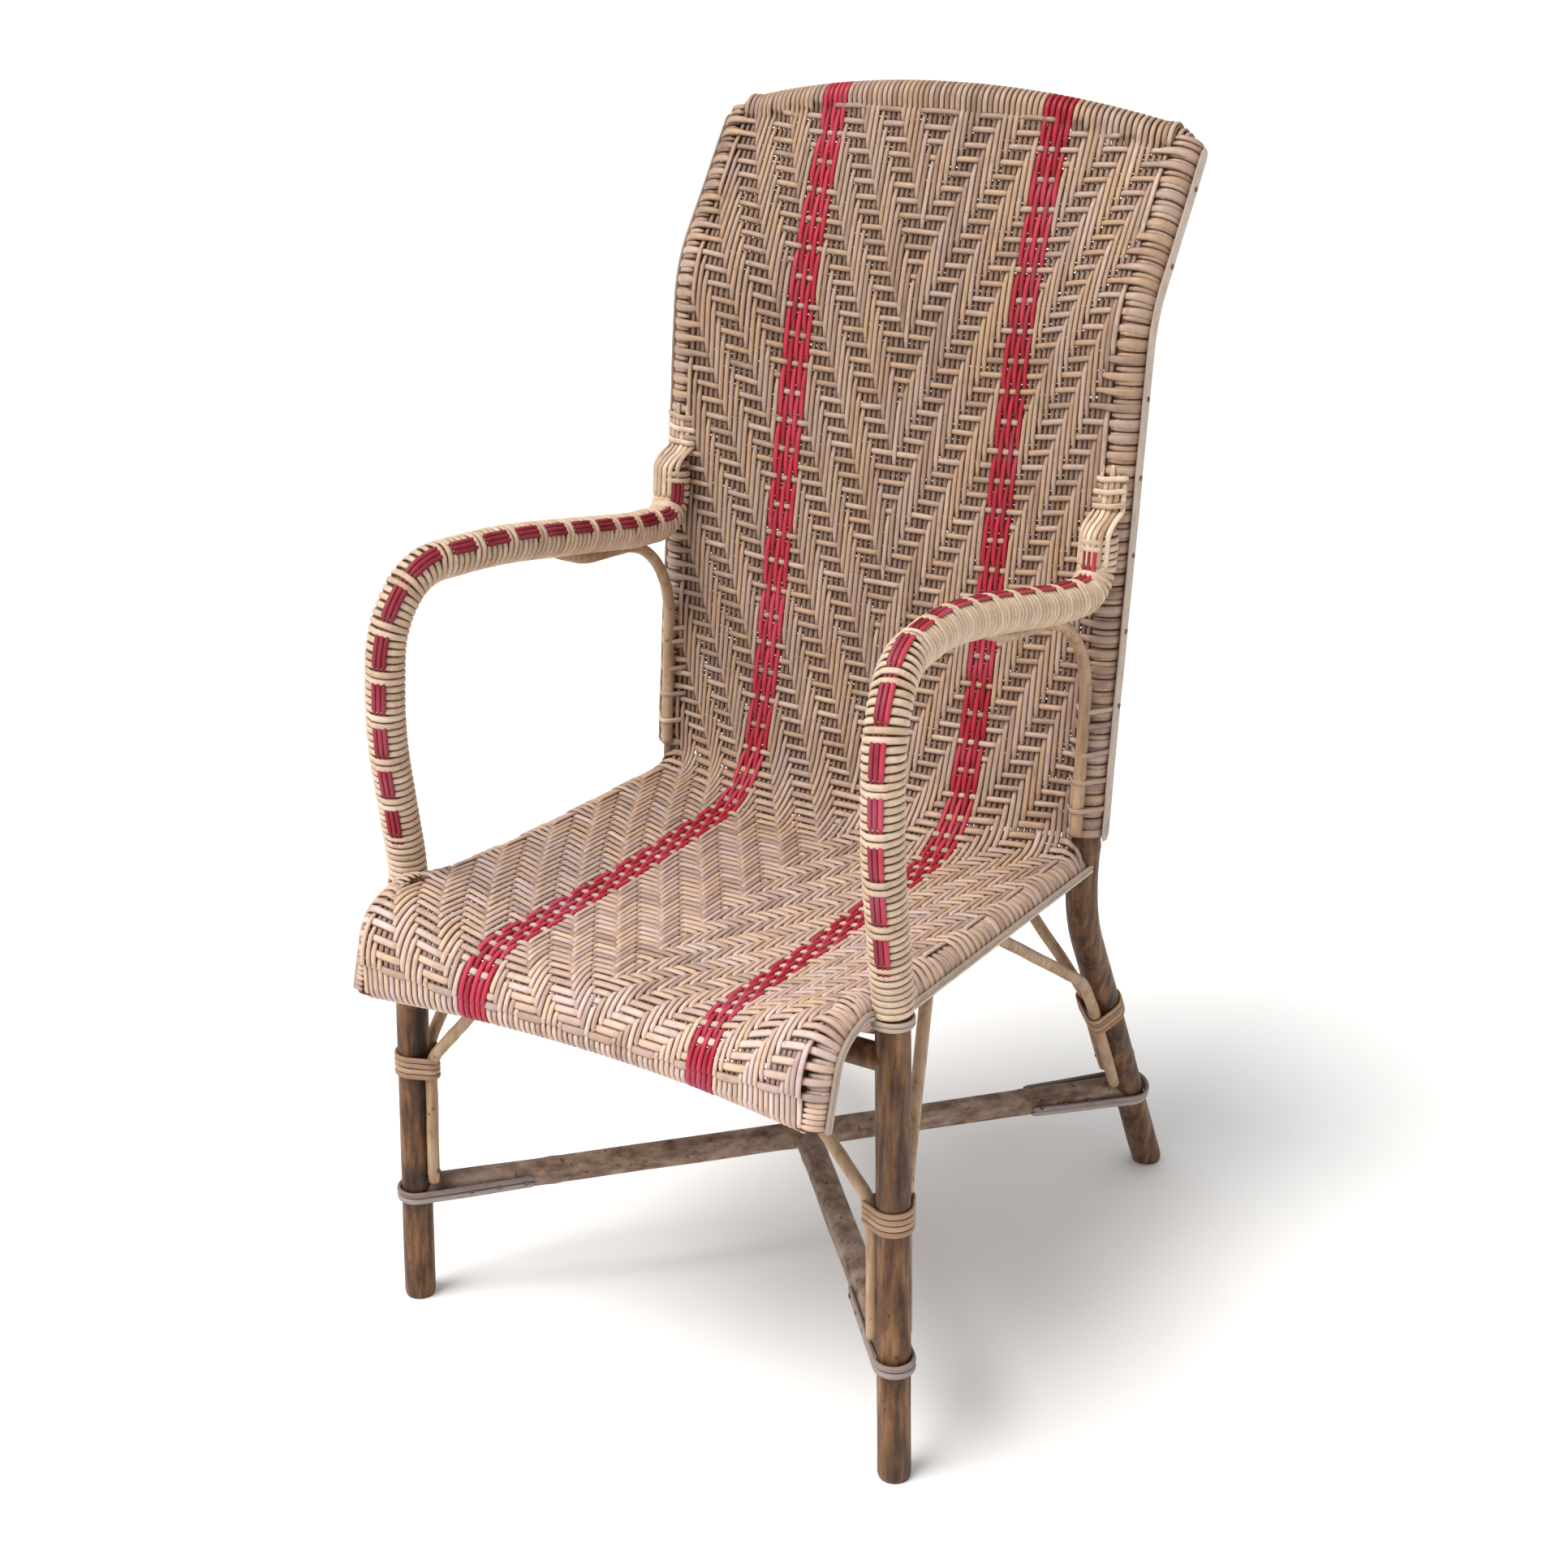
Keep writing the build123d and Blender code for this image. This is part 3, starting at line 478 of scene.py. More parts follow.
sideRailRoute, _ = bentRoute(
    [(213, 391, 396), (213, 20, 403), (213, -22, 426), (213, -62, 413), (213, -79, 351)],
    [40, 25, 35], 2.0,
)
frontRailX = np.linspace(-213, 213, 107)
bow = 20.0
frontRailRadius = (213.0 ** 2 + bow ** 2) / (2 * bow)
frontRailY = -77 + bow - frontRailRadius + np.sqrt(frontRailRadius ** 2 - frontRailX ** 2)


# The woven sheet: three profiles from the crest down the back and over the seat

sheet = {
    "edge": [(521, 1042), (411.45, 883), (375.9, 484), (371, 411), (129, 416), (-91, 439), (-91, 347)],
    "edgeBends": [136, 500, 22, 2000, 48],
    "stripe": [(498, 1042), (438, 880), (374, 512), (342, 409), (129, 402), (-76.6, 407), (-76.6, 347)],
    "stripeBends": [600, 500, 75, 2000, 48],
    "centre": [(491, 1042), (440, 880), (380, 520), (345, 405), (129, 398), (-71, 402), (-71, 347)],
    "centreBends": [600, 500, 75, 2000, 48],
    "edgeX": 204.0,
    "stripeX": 112.0,
    "middleDepth": 3.0,
}
weave = {
    "warpPitch": 5.25, "lastWarp": 40, "redWarps": (19, 23), "backPitch": 13.0, "seatPitch": 8.0,
    "lift": 1.45, "halfWidth": 2.56, "halfThick": 1.35, "weftHalfWidth": 2.75, "seatHalfWidth": 3.5,
    "weftHalfThick": 1.45, "turnHalfWidth": 4.4, "fillerHalfWidth": 2.0,
}


def profileTable(points, bends):
    # the profile by share: 0 at the crest, 1 at the crease, 2 at the roll, 3 at the front rail
    line, middles = bentRoute([(0, y, z) for y, z in points], bends, 1.0)
    length = lengthAlong(line)
    marks = [0.0]
    for middle in (middles[2], middles[4]):
        marks.append(length[np.argmin(np.linalg.norm(line - middle, axis=1))])
    marks.append(length[-1])
    share = np.interp(length, marks, [0, 1, 2, 3])
    return share, line[:, 1], line[:, 2], marks


profiles = [profileTable(sheet[key], sheet[key + "Bends"]) for key in ("centre", "stripe", "edge")]


def sheetPoint(x, share):
    # the front face of the sheet; x and share are arrays of one length
    x, share = np.asarray(x, float), np.asarray(share, float)
    side = np.abs(x)
    found = [np.zeros_like(x) + x]
    for column in (1, 2):
        centre, stripe, edge = (np.interp(share, p[0], p[column]) for p in profiles)
        innerSlope = (stripe - centre) / sheet["stripeX"]
        outerSlope = (edge - stripe) / (sheet["edgeX"] - sheet["stripeX"])
        bendSlope = (innerSlope + outerSlope) / 2
        a = np.clip(side / sheet["stripeX"], 0, 1)
        inner = centre * (2 * a**3 - 3 * a**2 + 1) + stripe * (3 * a**2 - 2 * a**3)
        inner += bendSlope * sheet["stripeX"] * (a**3 - a**2)
        span = sheet["edgeX"] - sheet["stripeX"]
        b = np.clip((side - sheet["stripeX"]) / span, 0, 1)
        outer = stripe * (2 * b**3 - 3 * b**2 + 1) + edge * (3 * b**2 - 2 * b**3)
        outer += bendSlope * span * (b**3 - 2 * b**2 + b) + outerSlope * 0.5 * span * (b**3 - b**2)
        found.append(np.where(side < sheet["stripeX"], inner, outer))
    return np.stack(found, axis=1)


def sheetNormal(x, share):
    down = sheetPoint(x, share + 0.004) - sheetPoint(x, share - 0.004)
    across = sheetPoint(x + 1.0, share) - sheetPoint(x - 1.0, share)
    return unit(np.cross(down, across))


def sheetMiddle(x, share):
    return sheetPoint(x, share) - sheetNormal(x, share) * sheet["middleDepth"]


# Where the weft rows lie, measured down the stripe's profile
stripeMarks = profiles[1][3]
rowLengths, spot = [], 17.0
lastLength = stripeMarks[3] - 22.0
while spot < lastLength:
    rowLengths.append(spot)
    fromCrease = stripeMarks[1] - spot
    ease = min(1.0, max(0.0, (fromCrease + 10) / 90))
    spot += weave["seatPitch"] + (weave["backPitch"] - weave["seatPitch"]) * ease
rowLengths = np.array(rowLengths)
rowShares = np.interp(rowLengths, stripeMarks, [0, 1, 2, 3])
rowCount = len(rowShares)
creaseRow = int(np.searchsorted(rowShares, 1.0))
print(rowCount, "weft rows,", creaseRow, "on the back")


def weftOnTop(warp, row):
    # the herringbone, broken by the stripes' own small check
    place = abs(warp)
    first, last = weave["redWarps"]
    if first <= place <= last:
        if row > rowCount - 3:
            return False
        inStripe = place - first + 1
        turn = row % 4
        return (turn == 0 and inStripe in (2, 4)) or (turn == 2 and inStripe in (1, 3, 5))
    return (place + row) % 8 < 4


warpNumbers = list(range(-weave["lastWarp"], weave["lastWarp"] + 1))
onTop = np.array([[weftOnTop(w, r) for r in range(rowCount)] for w in warpNumbers])

def halfway(values, spots):
    # the values at whole places, and the mean of two neighbours between them
    low, high = np.floor(spots).astype(int), np.ceil(spots).astype(int)
    return (values[low] + values[high]) / 2


crestOrdered = crestRoute[np.argsort(crestRoute[:, 0])]
wrapRadius = 13.7  # of the turns round the crest rail and the front rail
restGap = 13.4  # from the crest rail's middle to a cane that lies on it


def crestMiddle(x):
    return np.array([x, *(np.interp(x, crestOrdered[:, 0], crestOrdered[:, k]) for k in (1, 2))])


def clearOfCrest(points, gap=restGap):
    # canes near the crest rail lie on its front instead of passing through it
    points = points.copy()
    _, railY, railZ = crestMiddle(np.minimum(np.abs(points[:, 0]), 200.0))
    drop = railZ - points[:, 2]
    front = railY - np.sqrt(np.maximum(gap ** 2 - np.clip(drop, 0, gap) ** 2, 0.0))
    ease = np.clip((drop - 10) / 30, 0, 1)
    front = np.where(drop < 10, railY - math.sqrt(gap ** 2 - 1), front + ease * 60)
    points[:, 1] = np.where(drop < 40, np.minimum(points[:, 1], front), points[:, 1])
    return points, drop


def turnOver(middle, start, spin, degrees, radius, steps):
    # round a rail from the start point, in the plane square to X
    reach = start - middle
    first = math.atan2(reach[2], reach[1])
    firstRadius = math.hypot(reach[1], reach[2])
    share = np.arange(1, steps + 1) / steps
    angle = first + spin * math.radians(degrees) * share
    size = firstRadius + (radius - firstRadius) * np.minimum(1, share * 3)
    outward = np.column_stack([np.zeros(steps), np.cos(angle), np.sin(angle)])
    return middle + outward * size[:, None], outward


chance = random.Random(7)
firstRed, lastRed = weave["redWarps"]
warpBundles = {key: newBundle() for key in ("left", "centre", "right", "red_left", "red_right")}
halfRows = np.arange(0, rowCount - 0.5, 0.5)
for place, warp in enumerate(warpNumbers):
    x = warp * weave["warpPitch"]
    lift = halfway(np.where(onTop[place], -1.0, 1.0), halfRows)
    share = np.interp(halfRows, np.arange(rowCount), rowShares)
    xs = x + wander(len(share), 0.55, (3, 8, 17), chance)
    middle, normal = sheetMiddle(xs, share), sheetNormal(xs, share)
    edgeRise = max(0.0, abs(x) - sheet["edgeX"]) * 0.25
    path = middle + normal * (lift * weave["lift"] + edgeRise)[:, None]
    # over the crest rail and down behind it
    crest = crestMiddle(math.copysign(min(abs(x), 200.0), x))
    crest[0] = x
    leadShare = np.linspace(0.0, rowShares[0] - 0.004, 8)
    leadX = np.full(8, x)
    path, drop = clearOfCrest(np.concatenate([sheetMiddle(leadX, leadShare), path]))
    normal = np.concatenate([sheetNormal(leadX, leadShare), normal])
    lift = np.concatenate([np.ones(8), lift])
    kept = drop > 0.5
    path, normal, lift = path[kept], normal[kept], lift[kept]
    over, overNormal = turnOver(crest, path[0], -1, 262, wrapRadius, 15)
    # under the front rail and up behind it
    front = np.array([x, np.interp(x, frontRailX, frontRailY), 362.0])
    tailShare = np.linspace(rowShares[-1] + 0.02, 3.0, 12)
    tail = sheetMiddle(np.full(12, x), tailShare)
    stop = int(np.argmin(np.abs(tail[:, 2] - front[2]))) + 1
    tail, tailNormal = tail[:stop], sheetNormal(np.full(stop, x), tailShare[:stop])
    under, underNormal = turnOver(front, tail[-1], 1, 200, wrapRadius, 12)
    whole = np.concatenate([over[::-1], path, tail, under])
    wholeNormal = np.concatenate([overNormal[::-1], normal, tailNormal, underNormal])
    wholeLift = np.concatenate([np.ones(len(over)), lift * 0.5 + 0.5, np.ones(len(tail) + len(under))])
    sideName = "right" if warp > 0 else "left"
    field = "centre" if abs(warp) < firstRed else sideName
    bundle = warpBundles["red_" + sideName if firstRed <= abs(warp) <= lastRed else field]
    width = weave["halfWidth"] * (1 + chance.uniform(-0.05, 0.05))
    addStrand(bundle, whole, wholeNormal, width, weave["halfThick"], 0.2 + 0.6 * chance.random(), wholeLift)

makePiece(
    "warp_canes_centre", warpBundles["centre"], caneNatural,
    "weave_centre", "crest_wrap", "front_edge_wrap",
)
for sideName, _ in rightAndLeft:
    redBundle = warpBundles["red_" + sideName]
    makePiece("warp_canes_" + sideName, warpBundles[sideName], caneNatural, "weave_" + sideName)
    makePiece("red_warps_" + sideName, redBundle, caneRed, "red_stripe_" + sideName)


def roundPole(start, axisLine, side, degrees, radius, fall, steps):
    # from the sheet's edge round a pole or rail to its back
    nearest = int(np.argmin(np.linalg.norm(axisLine - start, axis=1)))
    axis = axisLine[nearest]
    ahead = unit(axisLine[min(nearest + 1, len(axisLine) - 1)] - axisLine[max(nearest - 1, 0)])
    outward = np.array([side, 0.0, 0.0])
    reach = start - axis
    reach = reach - ahead * (reach @ ahead)
    facing = unit(reach - outward * (reach @ outward))
    first = math.atan2(reach @ outward, reach @ facing)
    firstRadius = float(np.linalg.norm(reach))
    share = np.arange(1, steps + 1)[:, None] / steps
    angle = first + math.radians(degrees) * share
    size = firstRadius + (radius - firstRadius) * np.minimum(1, share * 5)
    away = facing * np.cos(angle) + outward * np.sin(angle)
    return start - reach + away * size + ahead * fall * share, away


def openTurn(axis, ahead, startWay, side, degrees, radius, fall, steps=16):
    # a turn round a pole or rail that starts towards startWay and goes round by the outside
    startWay = unit(startWay - ahead * (startWay @ ahead))
    outward = np.array([side, 0.0, 0.0])
    outward = unit(outward - ahead * (outward @ ahead))
    other = unit(outward - startWay * (outward @ startWay))
    turn = np.linspace(0, math.radians(degrees), steps)
    away = startWay * np.cos(turn)[:, None] + other * np.sin(turn)[:, None]
    return axis + away * radius + ahead * (fall * turn / turn[-1])[:, None], away


poleEnd = crestCorner + unit(crestCorner - flarePoint) * 4
poleWithTop = np.concatenate([rearRoute, evenly([poleTop, poleEnd], 4.0)[1:]])
weftBundles = {"upper": newBundle(), "lower": newBundle(), "seat": newBundle()}
edgeTurn = {
    "poleRadius": 16.3, "railRadius": wrapRadius, "foldHeight": 428.0, "poleDegrees": 285, "railDegrees": 262,
    "steps": 14,
}
halfWarps = np.arange(0, len(warpNumbers) - 0.5, 0.5)
xs = (halfWarps - weave["lastWarp"]) * weave["warpPitch"]
edgeRise = np.maximum(0.0, np.abs(xs) - sheet["edgeX"]) * 0.3
for row, share in enumerate(rowShares):
    weftBundle = weftBundles["upper" if row < creaseRow / 2 else "lower" if row < creaseRow else "seat"]
    lift = halfway(np.where(onTop[:, row], 1.0, -1.0), halfWarps)
    shares = share + wander(len(xs), 0.0016, (2, 5), chance)
    middle, normal = sheetMiddle(xs, shares), sheetNormal(xs, shares)
    path = middle + normal * (lift * weave["lift"] + edgeRise)[:, None]
    path, drop = clearOfCrest(path, restGap + 1.4)
    below = drop > 4
    underArch = share < 0.2 and not below.all()  # the top rows end under the arch of the crest
    if underArch:
        whole, wholeNormal, wholeLift = path[below], normal[below], lift[below] * 0.5 + 0.5
        if not below.any():
            continue
        own = weave["weftHalfWidth"]
    else:
        onBack = share < 1.0 and path[0][2] > edgeTurn["foldHeight"]
        kind, axisLine = ("pole", poleWithTop) if onBack else ("rail", sideRailRoute)
        ends = {}
        for sideName, side in rightAndLeft:
            start = path[-1 if side == 1 else 0] + np.array([side * 1.5, 0, 0])
            ends[sideName] = roundPole(
                start, flipped(axisLine, side), side, edgeTurn[kind + "Degrees"], edgeTurn[kind + "Radius"],
                1.5, edgeTurn["steps"],
            )
        whole = np.concatenate([ends["left"][0][::-1], path, ends["right"][0]])
        wholeNormal = np.concatenate([ends["left"][1][::-1], normal, ends["right"][1]])
        endLift = np.ones(edgeTurn["steps"])
        wholeLift = np.concatenate([endLift, lift * 0.5 + 0.5, endLift])
        gapAfter = rowLengths[min(row + 1, rowCount - 1)] - rowLengths[row]
        own = weave["weftHalfWidth"] if gapAfter > 10 else weave["seatHalfWidth"]
    width = np.full(len(whole), own * (1 + chance.uniform(-0.06, 0.04)))
    if not underArch:
        widest = weave["turnHalfWidth"] if onBack else weave["turnHalfWidth"] * 0.75
        spot = np.arange(len(whole))
        width = widest + (width - widest) * np.clip(np.minimum(spot, spot[::-1]) - 11, 0, 5) / 5
    tone = 0.2 + 0.6 * chance.random()
    addStrand(weftBundle, whole, wholeNormal, width, weave["weftHalfThick"], tone, wholeLift)

# Thin turns below them hide the poles and rails between two rows
# the crown value sets how much painted shade the thin turns take
fillTurn = {"halfWidth": 2.6, "halfThick": 1.2, "crown": 0.85}
fillPlaces = (
    ("pole", poleWithTop, 5.5, 15.6, (-0.25, -1.0, 0.0), 300),
    ("rail", sideRailRoute, 4.4, 12.9, (-0.45, 0.0, 1.0), 285),
)
# each turn of the crest's rounded end: how far out it lies, its radius and its drop
crestEnd = (
    (6, wrapRadius, 0.0), (11, restGap, 0.3), (16, 12.8, 1.0), (20.5, 11.6, 2.2),
    (24.5, 9.4, 4.4), (27.5, 6.2, 7.0), (28.5, 2.6, 8.5),
)
wrapBundle = newBundle()
for sideName, side in rightAndLeft:
    for kind, line, pitch, radius, startWay, degrees in fillPlaces:
        line = evenly(flipped(line, side), pitch)
        ahead = unit(np.gradient(line, axis=0))
        for k in range(1, len(line) - 1):
            if kind == "pole" and line[k][2] < edgeTurn["foldHeight"]:
                continue
            rollsDown = kind == "rail" and ahead[k][2] <= -0.6
            way = np.array([0.0, -1.0, 0.0]) if rollsDown else flipped(startWay, side)
            path, normal = openTurn(line[k], ahead[k], way, side, degrees, radius, 0.8)
            addStrand(
                wrapBundle, path, normal, fillTurn["halfWidth"], fillTurn["halfThick"],
                0.15 + 0.6 * chance.random(), np.full(len(path), fillTurn["crown"]),
            )
    # the rounded end of the crest above the pole
    outer = crestMiddle(200.0)
    along = unit(outer - crestMiddle(190.0))
    turn = np.linspace(0, 2 * math.pi, 25)[:-1]
    away = np.column_stack([np.zeros(len(turn)), np.cos(turn), np.sin(turn)])
    for reach, radius, dip in crestEnd:
        centre = flipped(outer + along * reach - np.array([0, 0, dip]), side)
        tone = 0.3 + 0.5 * chance.random()
        addStrand(wrapBundle, centre + away * radius, away, 2.75, 1.4, tone, closed=True)

makePiece(
    "weft_canes_upper", weftBundles["upper"], caneNatural,
    "back_edge_wrap_left", "back_edge_wrap_right",
)
makePiece("weft_canes_lower", weftBundles["lower"], caneNatural)
makePiece(
    "weft_canes_seat", weftBundles["seat"], caneNatural,
    "side_rail_wrap_left", "side_rail_wrap_right",
)
makePiece("edge_turns", wrapBundle, caneNatural)

# Thin canes behind the back close the gaps between its rows
fillerBundle = newBundle()
xs = np.arange(-206.0, 206.5, 8.0)
for row in np.flatnonzero(np.diff(rowLengths) >= 9.5):
    for part in (1 / 3, 2 / 3):
        share = rowShares[row] + (rowShares[row + 1] - rowShares[row]) * part
        shares = share + wander(len(xs), 0.002, (2, 5, 11), chance)
        facing = sheetNormal(xs, shares)
        path = sheetMiddle(xs, shares) - facing * 3.3
        _, drop = clearOfCrest(path)
        path, facing = path[drop > 12], facing[drop > 12]
        if len(path) < 4:
            continue
        tone = chance.random() * 0.7
        # a lift of a half gives the filler canes painted shade, as canes lying low behind the rows
        addStrand(fillerBundle, path, facing, weave["fillerHalfWidth"], 0.9, tone, np.full(len(path), 0.5))
makePiece("filler_canes", fillerBundle, caneNatural)
print("sheet woven")


def outlineAround(circles, gap):
    # the tight outline round a few circles, as points and outward directions
    points = set()
    for centre, radius in circles:
        for turn in np.arange(48) * math.pi / 24:
            x = centre[0] + (radius + gap) * math.cos(turn)
            y = centre[1] + (radius + gap) * math.sin(turn)
            points.add((round(x, 4), round(y, 4)))

    def bends(a, b, c):
        return (b[0] - a[0]) * (c[1] - a[1]) > (b[1] - a[1]) * (c[0] - a[0])

    def chain(ordered):
        kept = []
        for point in ordered:
            while len(kept) > 1 and not bends(kept[-2], kept[-1], point):
                kept.pop()
            kept.append(point)
        return kept

    lower, upper = chain(sorted(points)), chain(sorted(points, reverse=True))
    loop = np.array(lower[:-1] + upper)
    flat = evenly(np.column_stack([loop, np.zeros(len(loop))]), 2.2)[:-1]
    tangent = unit(np.roll(flat, -1, 0) - np.roll(flat, 1, 0))
    outward = np.column_stack([tangent[:, 1], -tangent[:, 0]])
    return flat[:, :2], outward


def placed(flat, centre, xDirection, yDirection):
    return centre + flat[:, :1] * xDirection + flat[:, 1:2] * yDirection


# Poles

poles = {"leg": 14.0, "rear": 14.5, "stretcher": 12.5, "brace": 5.5}


def legAt(z):
    return frontFoot + (legHead - frontFoot) * z / legHead[2]


def rearLegAt(z):
    return rearFoot + (rearKnee - rearFoot) * z / rearKnee[2]


chance = random.Random(19)
for sideName, side in rightAndLeft:
    bundle = newBundle()
    addPole(bundle, flipped(armRoute, side), poles["leg"], chance, levelFoot=True)
    makePiece("front_leg_and_arm_" + sideName, bundle, poleBrown, "front_leg_arm_pole_" + sideName)
    bundle = newBundle()
    addPole(bundle, flipped(rearRoute, side), poles["rear"], chance, levelFoot=True)
    makePiece("rear_upright_" + sideName, bundle, poleBrown, "rear_pole_" + sideName)

stretcherZ = 109.0
frontJoint, rearJoint = legAt(stretcherZ), rearLegAt(stretcherZ)
for name, start, end in (
    ("stretcher_lower", frontJoint, flipped(rearJoint, -1)),
    ("stretcher_upper", flipped(frontJoint, -1), rearJoint),
):
    bundle = newBundle()
    addPole(bundle, evenly([start, end], 5.0), poles["stretcher"], chance, crook=0.8)
    makePiece(name + "_pole", bundle, poleGrey, name)

# Braces beside the legs and under the arms
frontAxis, rearAxis = unit(legHead - frontFoot), unit(rearKnee - rearFoot)
besideFront, besideRear = poles["leg"] + poles["brace"], poles["rear"] + poles["brace"]
forward = np.cross([1.0, 0, 0], rearAxis) * besideRear
inward, behind = np.array([-1.0, 0, 0]), np.array([0, 1.0, 0])
bracePaths = {
    "front_brace_inner": (
        [legAt(124.5) + inward * besideFront, legAt(248) + inward * besideFront, (111, 0, 380)], [40],
    ),
    "front_brace_side": (
        [legAt(124.5) + behind * besideFront, legAt(248) + behind * besideFront, (213, 105.6, 400)], [60],
    ),
    "rear_brace_side": (
        [rearLegAt(138.5) + forward, rearLegAt(248) + forward, (221, 394, 276), (213, 207, 399)], [45, 120],
    ),
    "rear_brace_inner": (
        [rearLegAt(132.5) + inward * besideRear, rearLegAt(240) + inward * besideRear, (120, 384, 396)], [40],
    ),
    "arm_brace": (
        [(209.5, 190, 666), (209, 229, 651), (217, poleY(650) - 29, 636), (rearX, poleY(430) - 20, 430)],
        [90, 88],
    ),
}
for name, (points, bends) in bracePaths.items():
    for sideName, side in rightAndLeft:
        bundle = newBundle()
        line, _ = bentRoute(points, bends)
        addPole(bundle, flipped(line, side), poles["brace"], chance, sides=12, crook=0.6)
        makePiece(name + "_cane_" + sideName, bundle, poleHoney, name + "_" + sideName)

# Turns that bind each brace under an arm to its pole
braceTurn = {"heights": (545, 532, 506, 480, 454), "halfWidth": 2.7, "halfThick": 1.3}
turnCircles = [((0, 0), poles["rear"] + 2.6), ((0, -20), poles["brace"])]
loop, outward = outlineAround(turnCircles, braceTurn["halfThick"])
for sideName, side in rightAndLeft:
    bundle = newBundle()
    normal = flipped(np.column_stack([outward, np.zeros(len(loop))]), side)[::side]
    for z in braceTurn["heights"]:
        flat = np.column_stack([loop, wander(len(loop), 1.2, (1, 2), chance)])
        path = flipped(np.array([rearX, poleY(z), z]) + flat, side)[::side]
        tone = chance.random()
        addStrand(bundle, path, normal, braceTurn["halfWidth"], braceTurn["halfThick"], tone, closed=True)
    makePiece("arm_brace_turns_" + sideName, bundle, caneNatural)
print("poles and braces made")

# Wound arms with the red inlay

armWinding = {
    "pitch": 6.2, "radius": 15.4, "halfWidth": 2.95, "halfThick": 1.4, "fromZ": 419.0, "over": 2, "under": 4,
    "plainTurns": 8, "bulge": 1.5, "pointsPerTurn": 22, "leanLengths": (200, 330),
}
inlay = {
    "spacing": 4.2, "halfWidth": 2.15, "halfThick": 0.9, "raised": 17.3, "sunk": 15.6, "spread": 0.42,
    "leanDegrees": {"right": (10, 16), "left": (22, 38)},
}
armEnd = {
    "shifts": (-12.5, -7.5, -2.5, 2.5, 7.5, 12.5), "steps": (2, 12, 0, 14, 5, -4),
    "from": 676.0, "bendZ": 711, "top": 748.0, "poleRadius": 18.2, "halfWidth": 2.45, "halfThick": 1.2,
    "capSteps": (-11.5, -6.9, -2.3, 2.3, 6.9, 11.5), "capRadius": 15.2, "capZ": 703.0,
    "bars": (723.0, 735.0, 746.0), "barHalfLength": 15.5, "barRadius": 20.4,
}
cycleTurns = armWinding["over"] + armWinding["under"]
chance = random.Random(23)
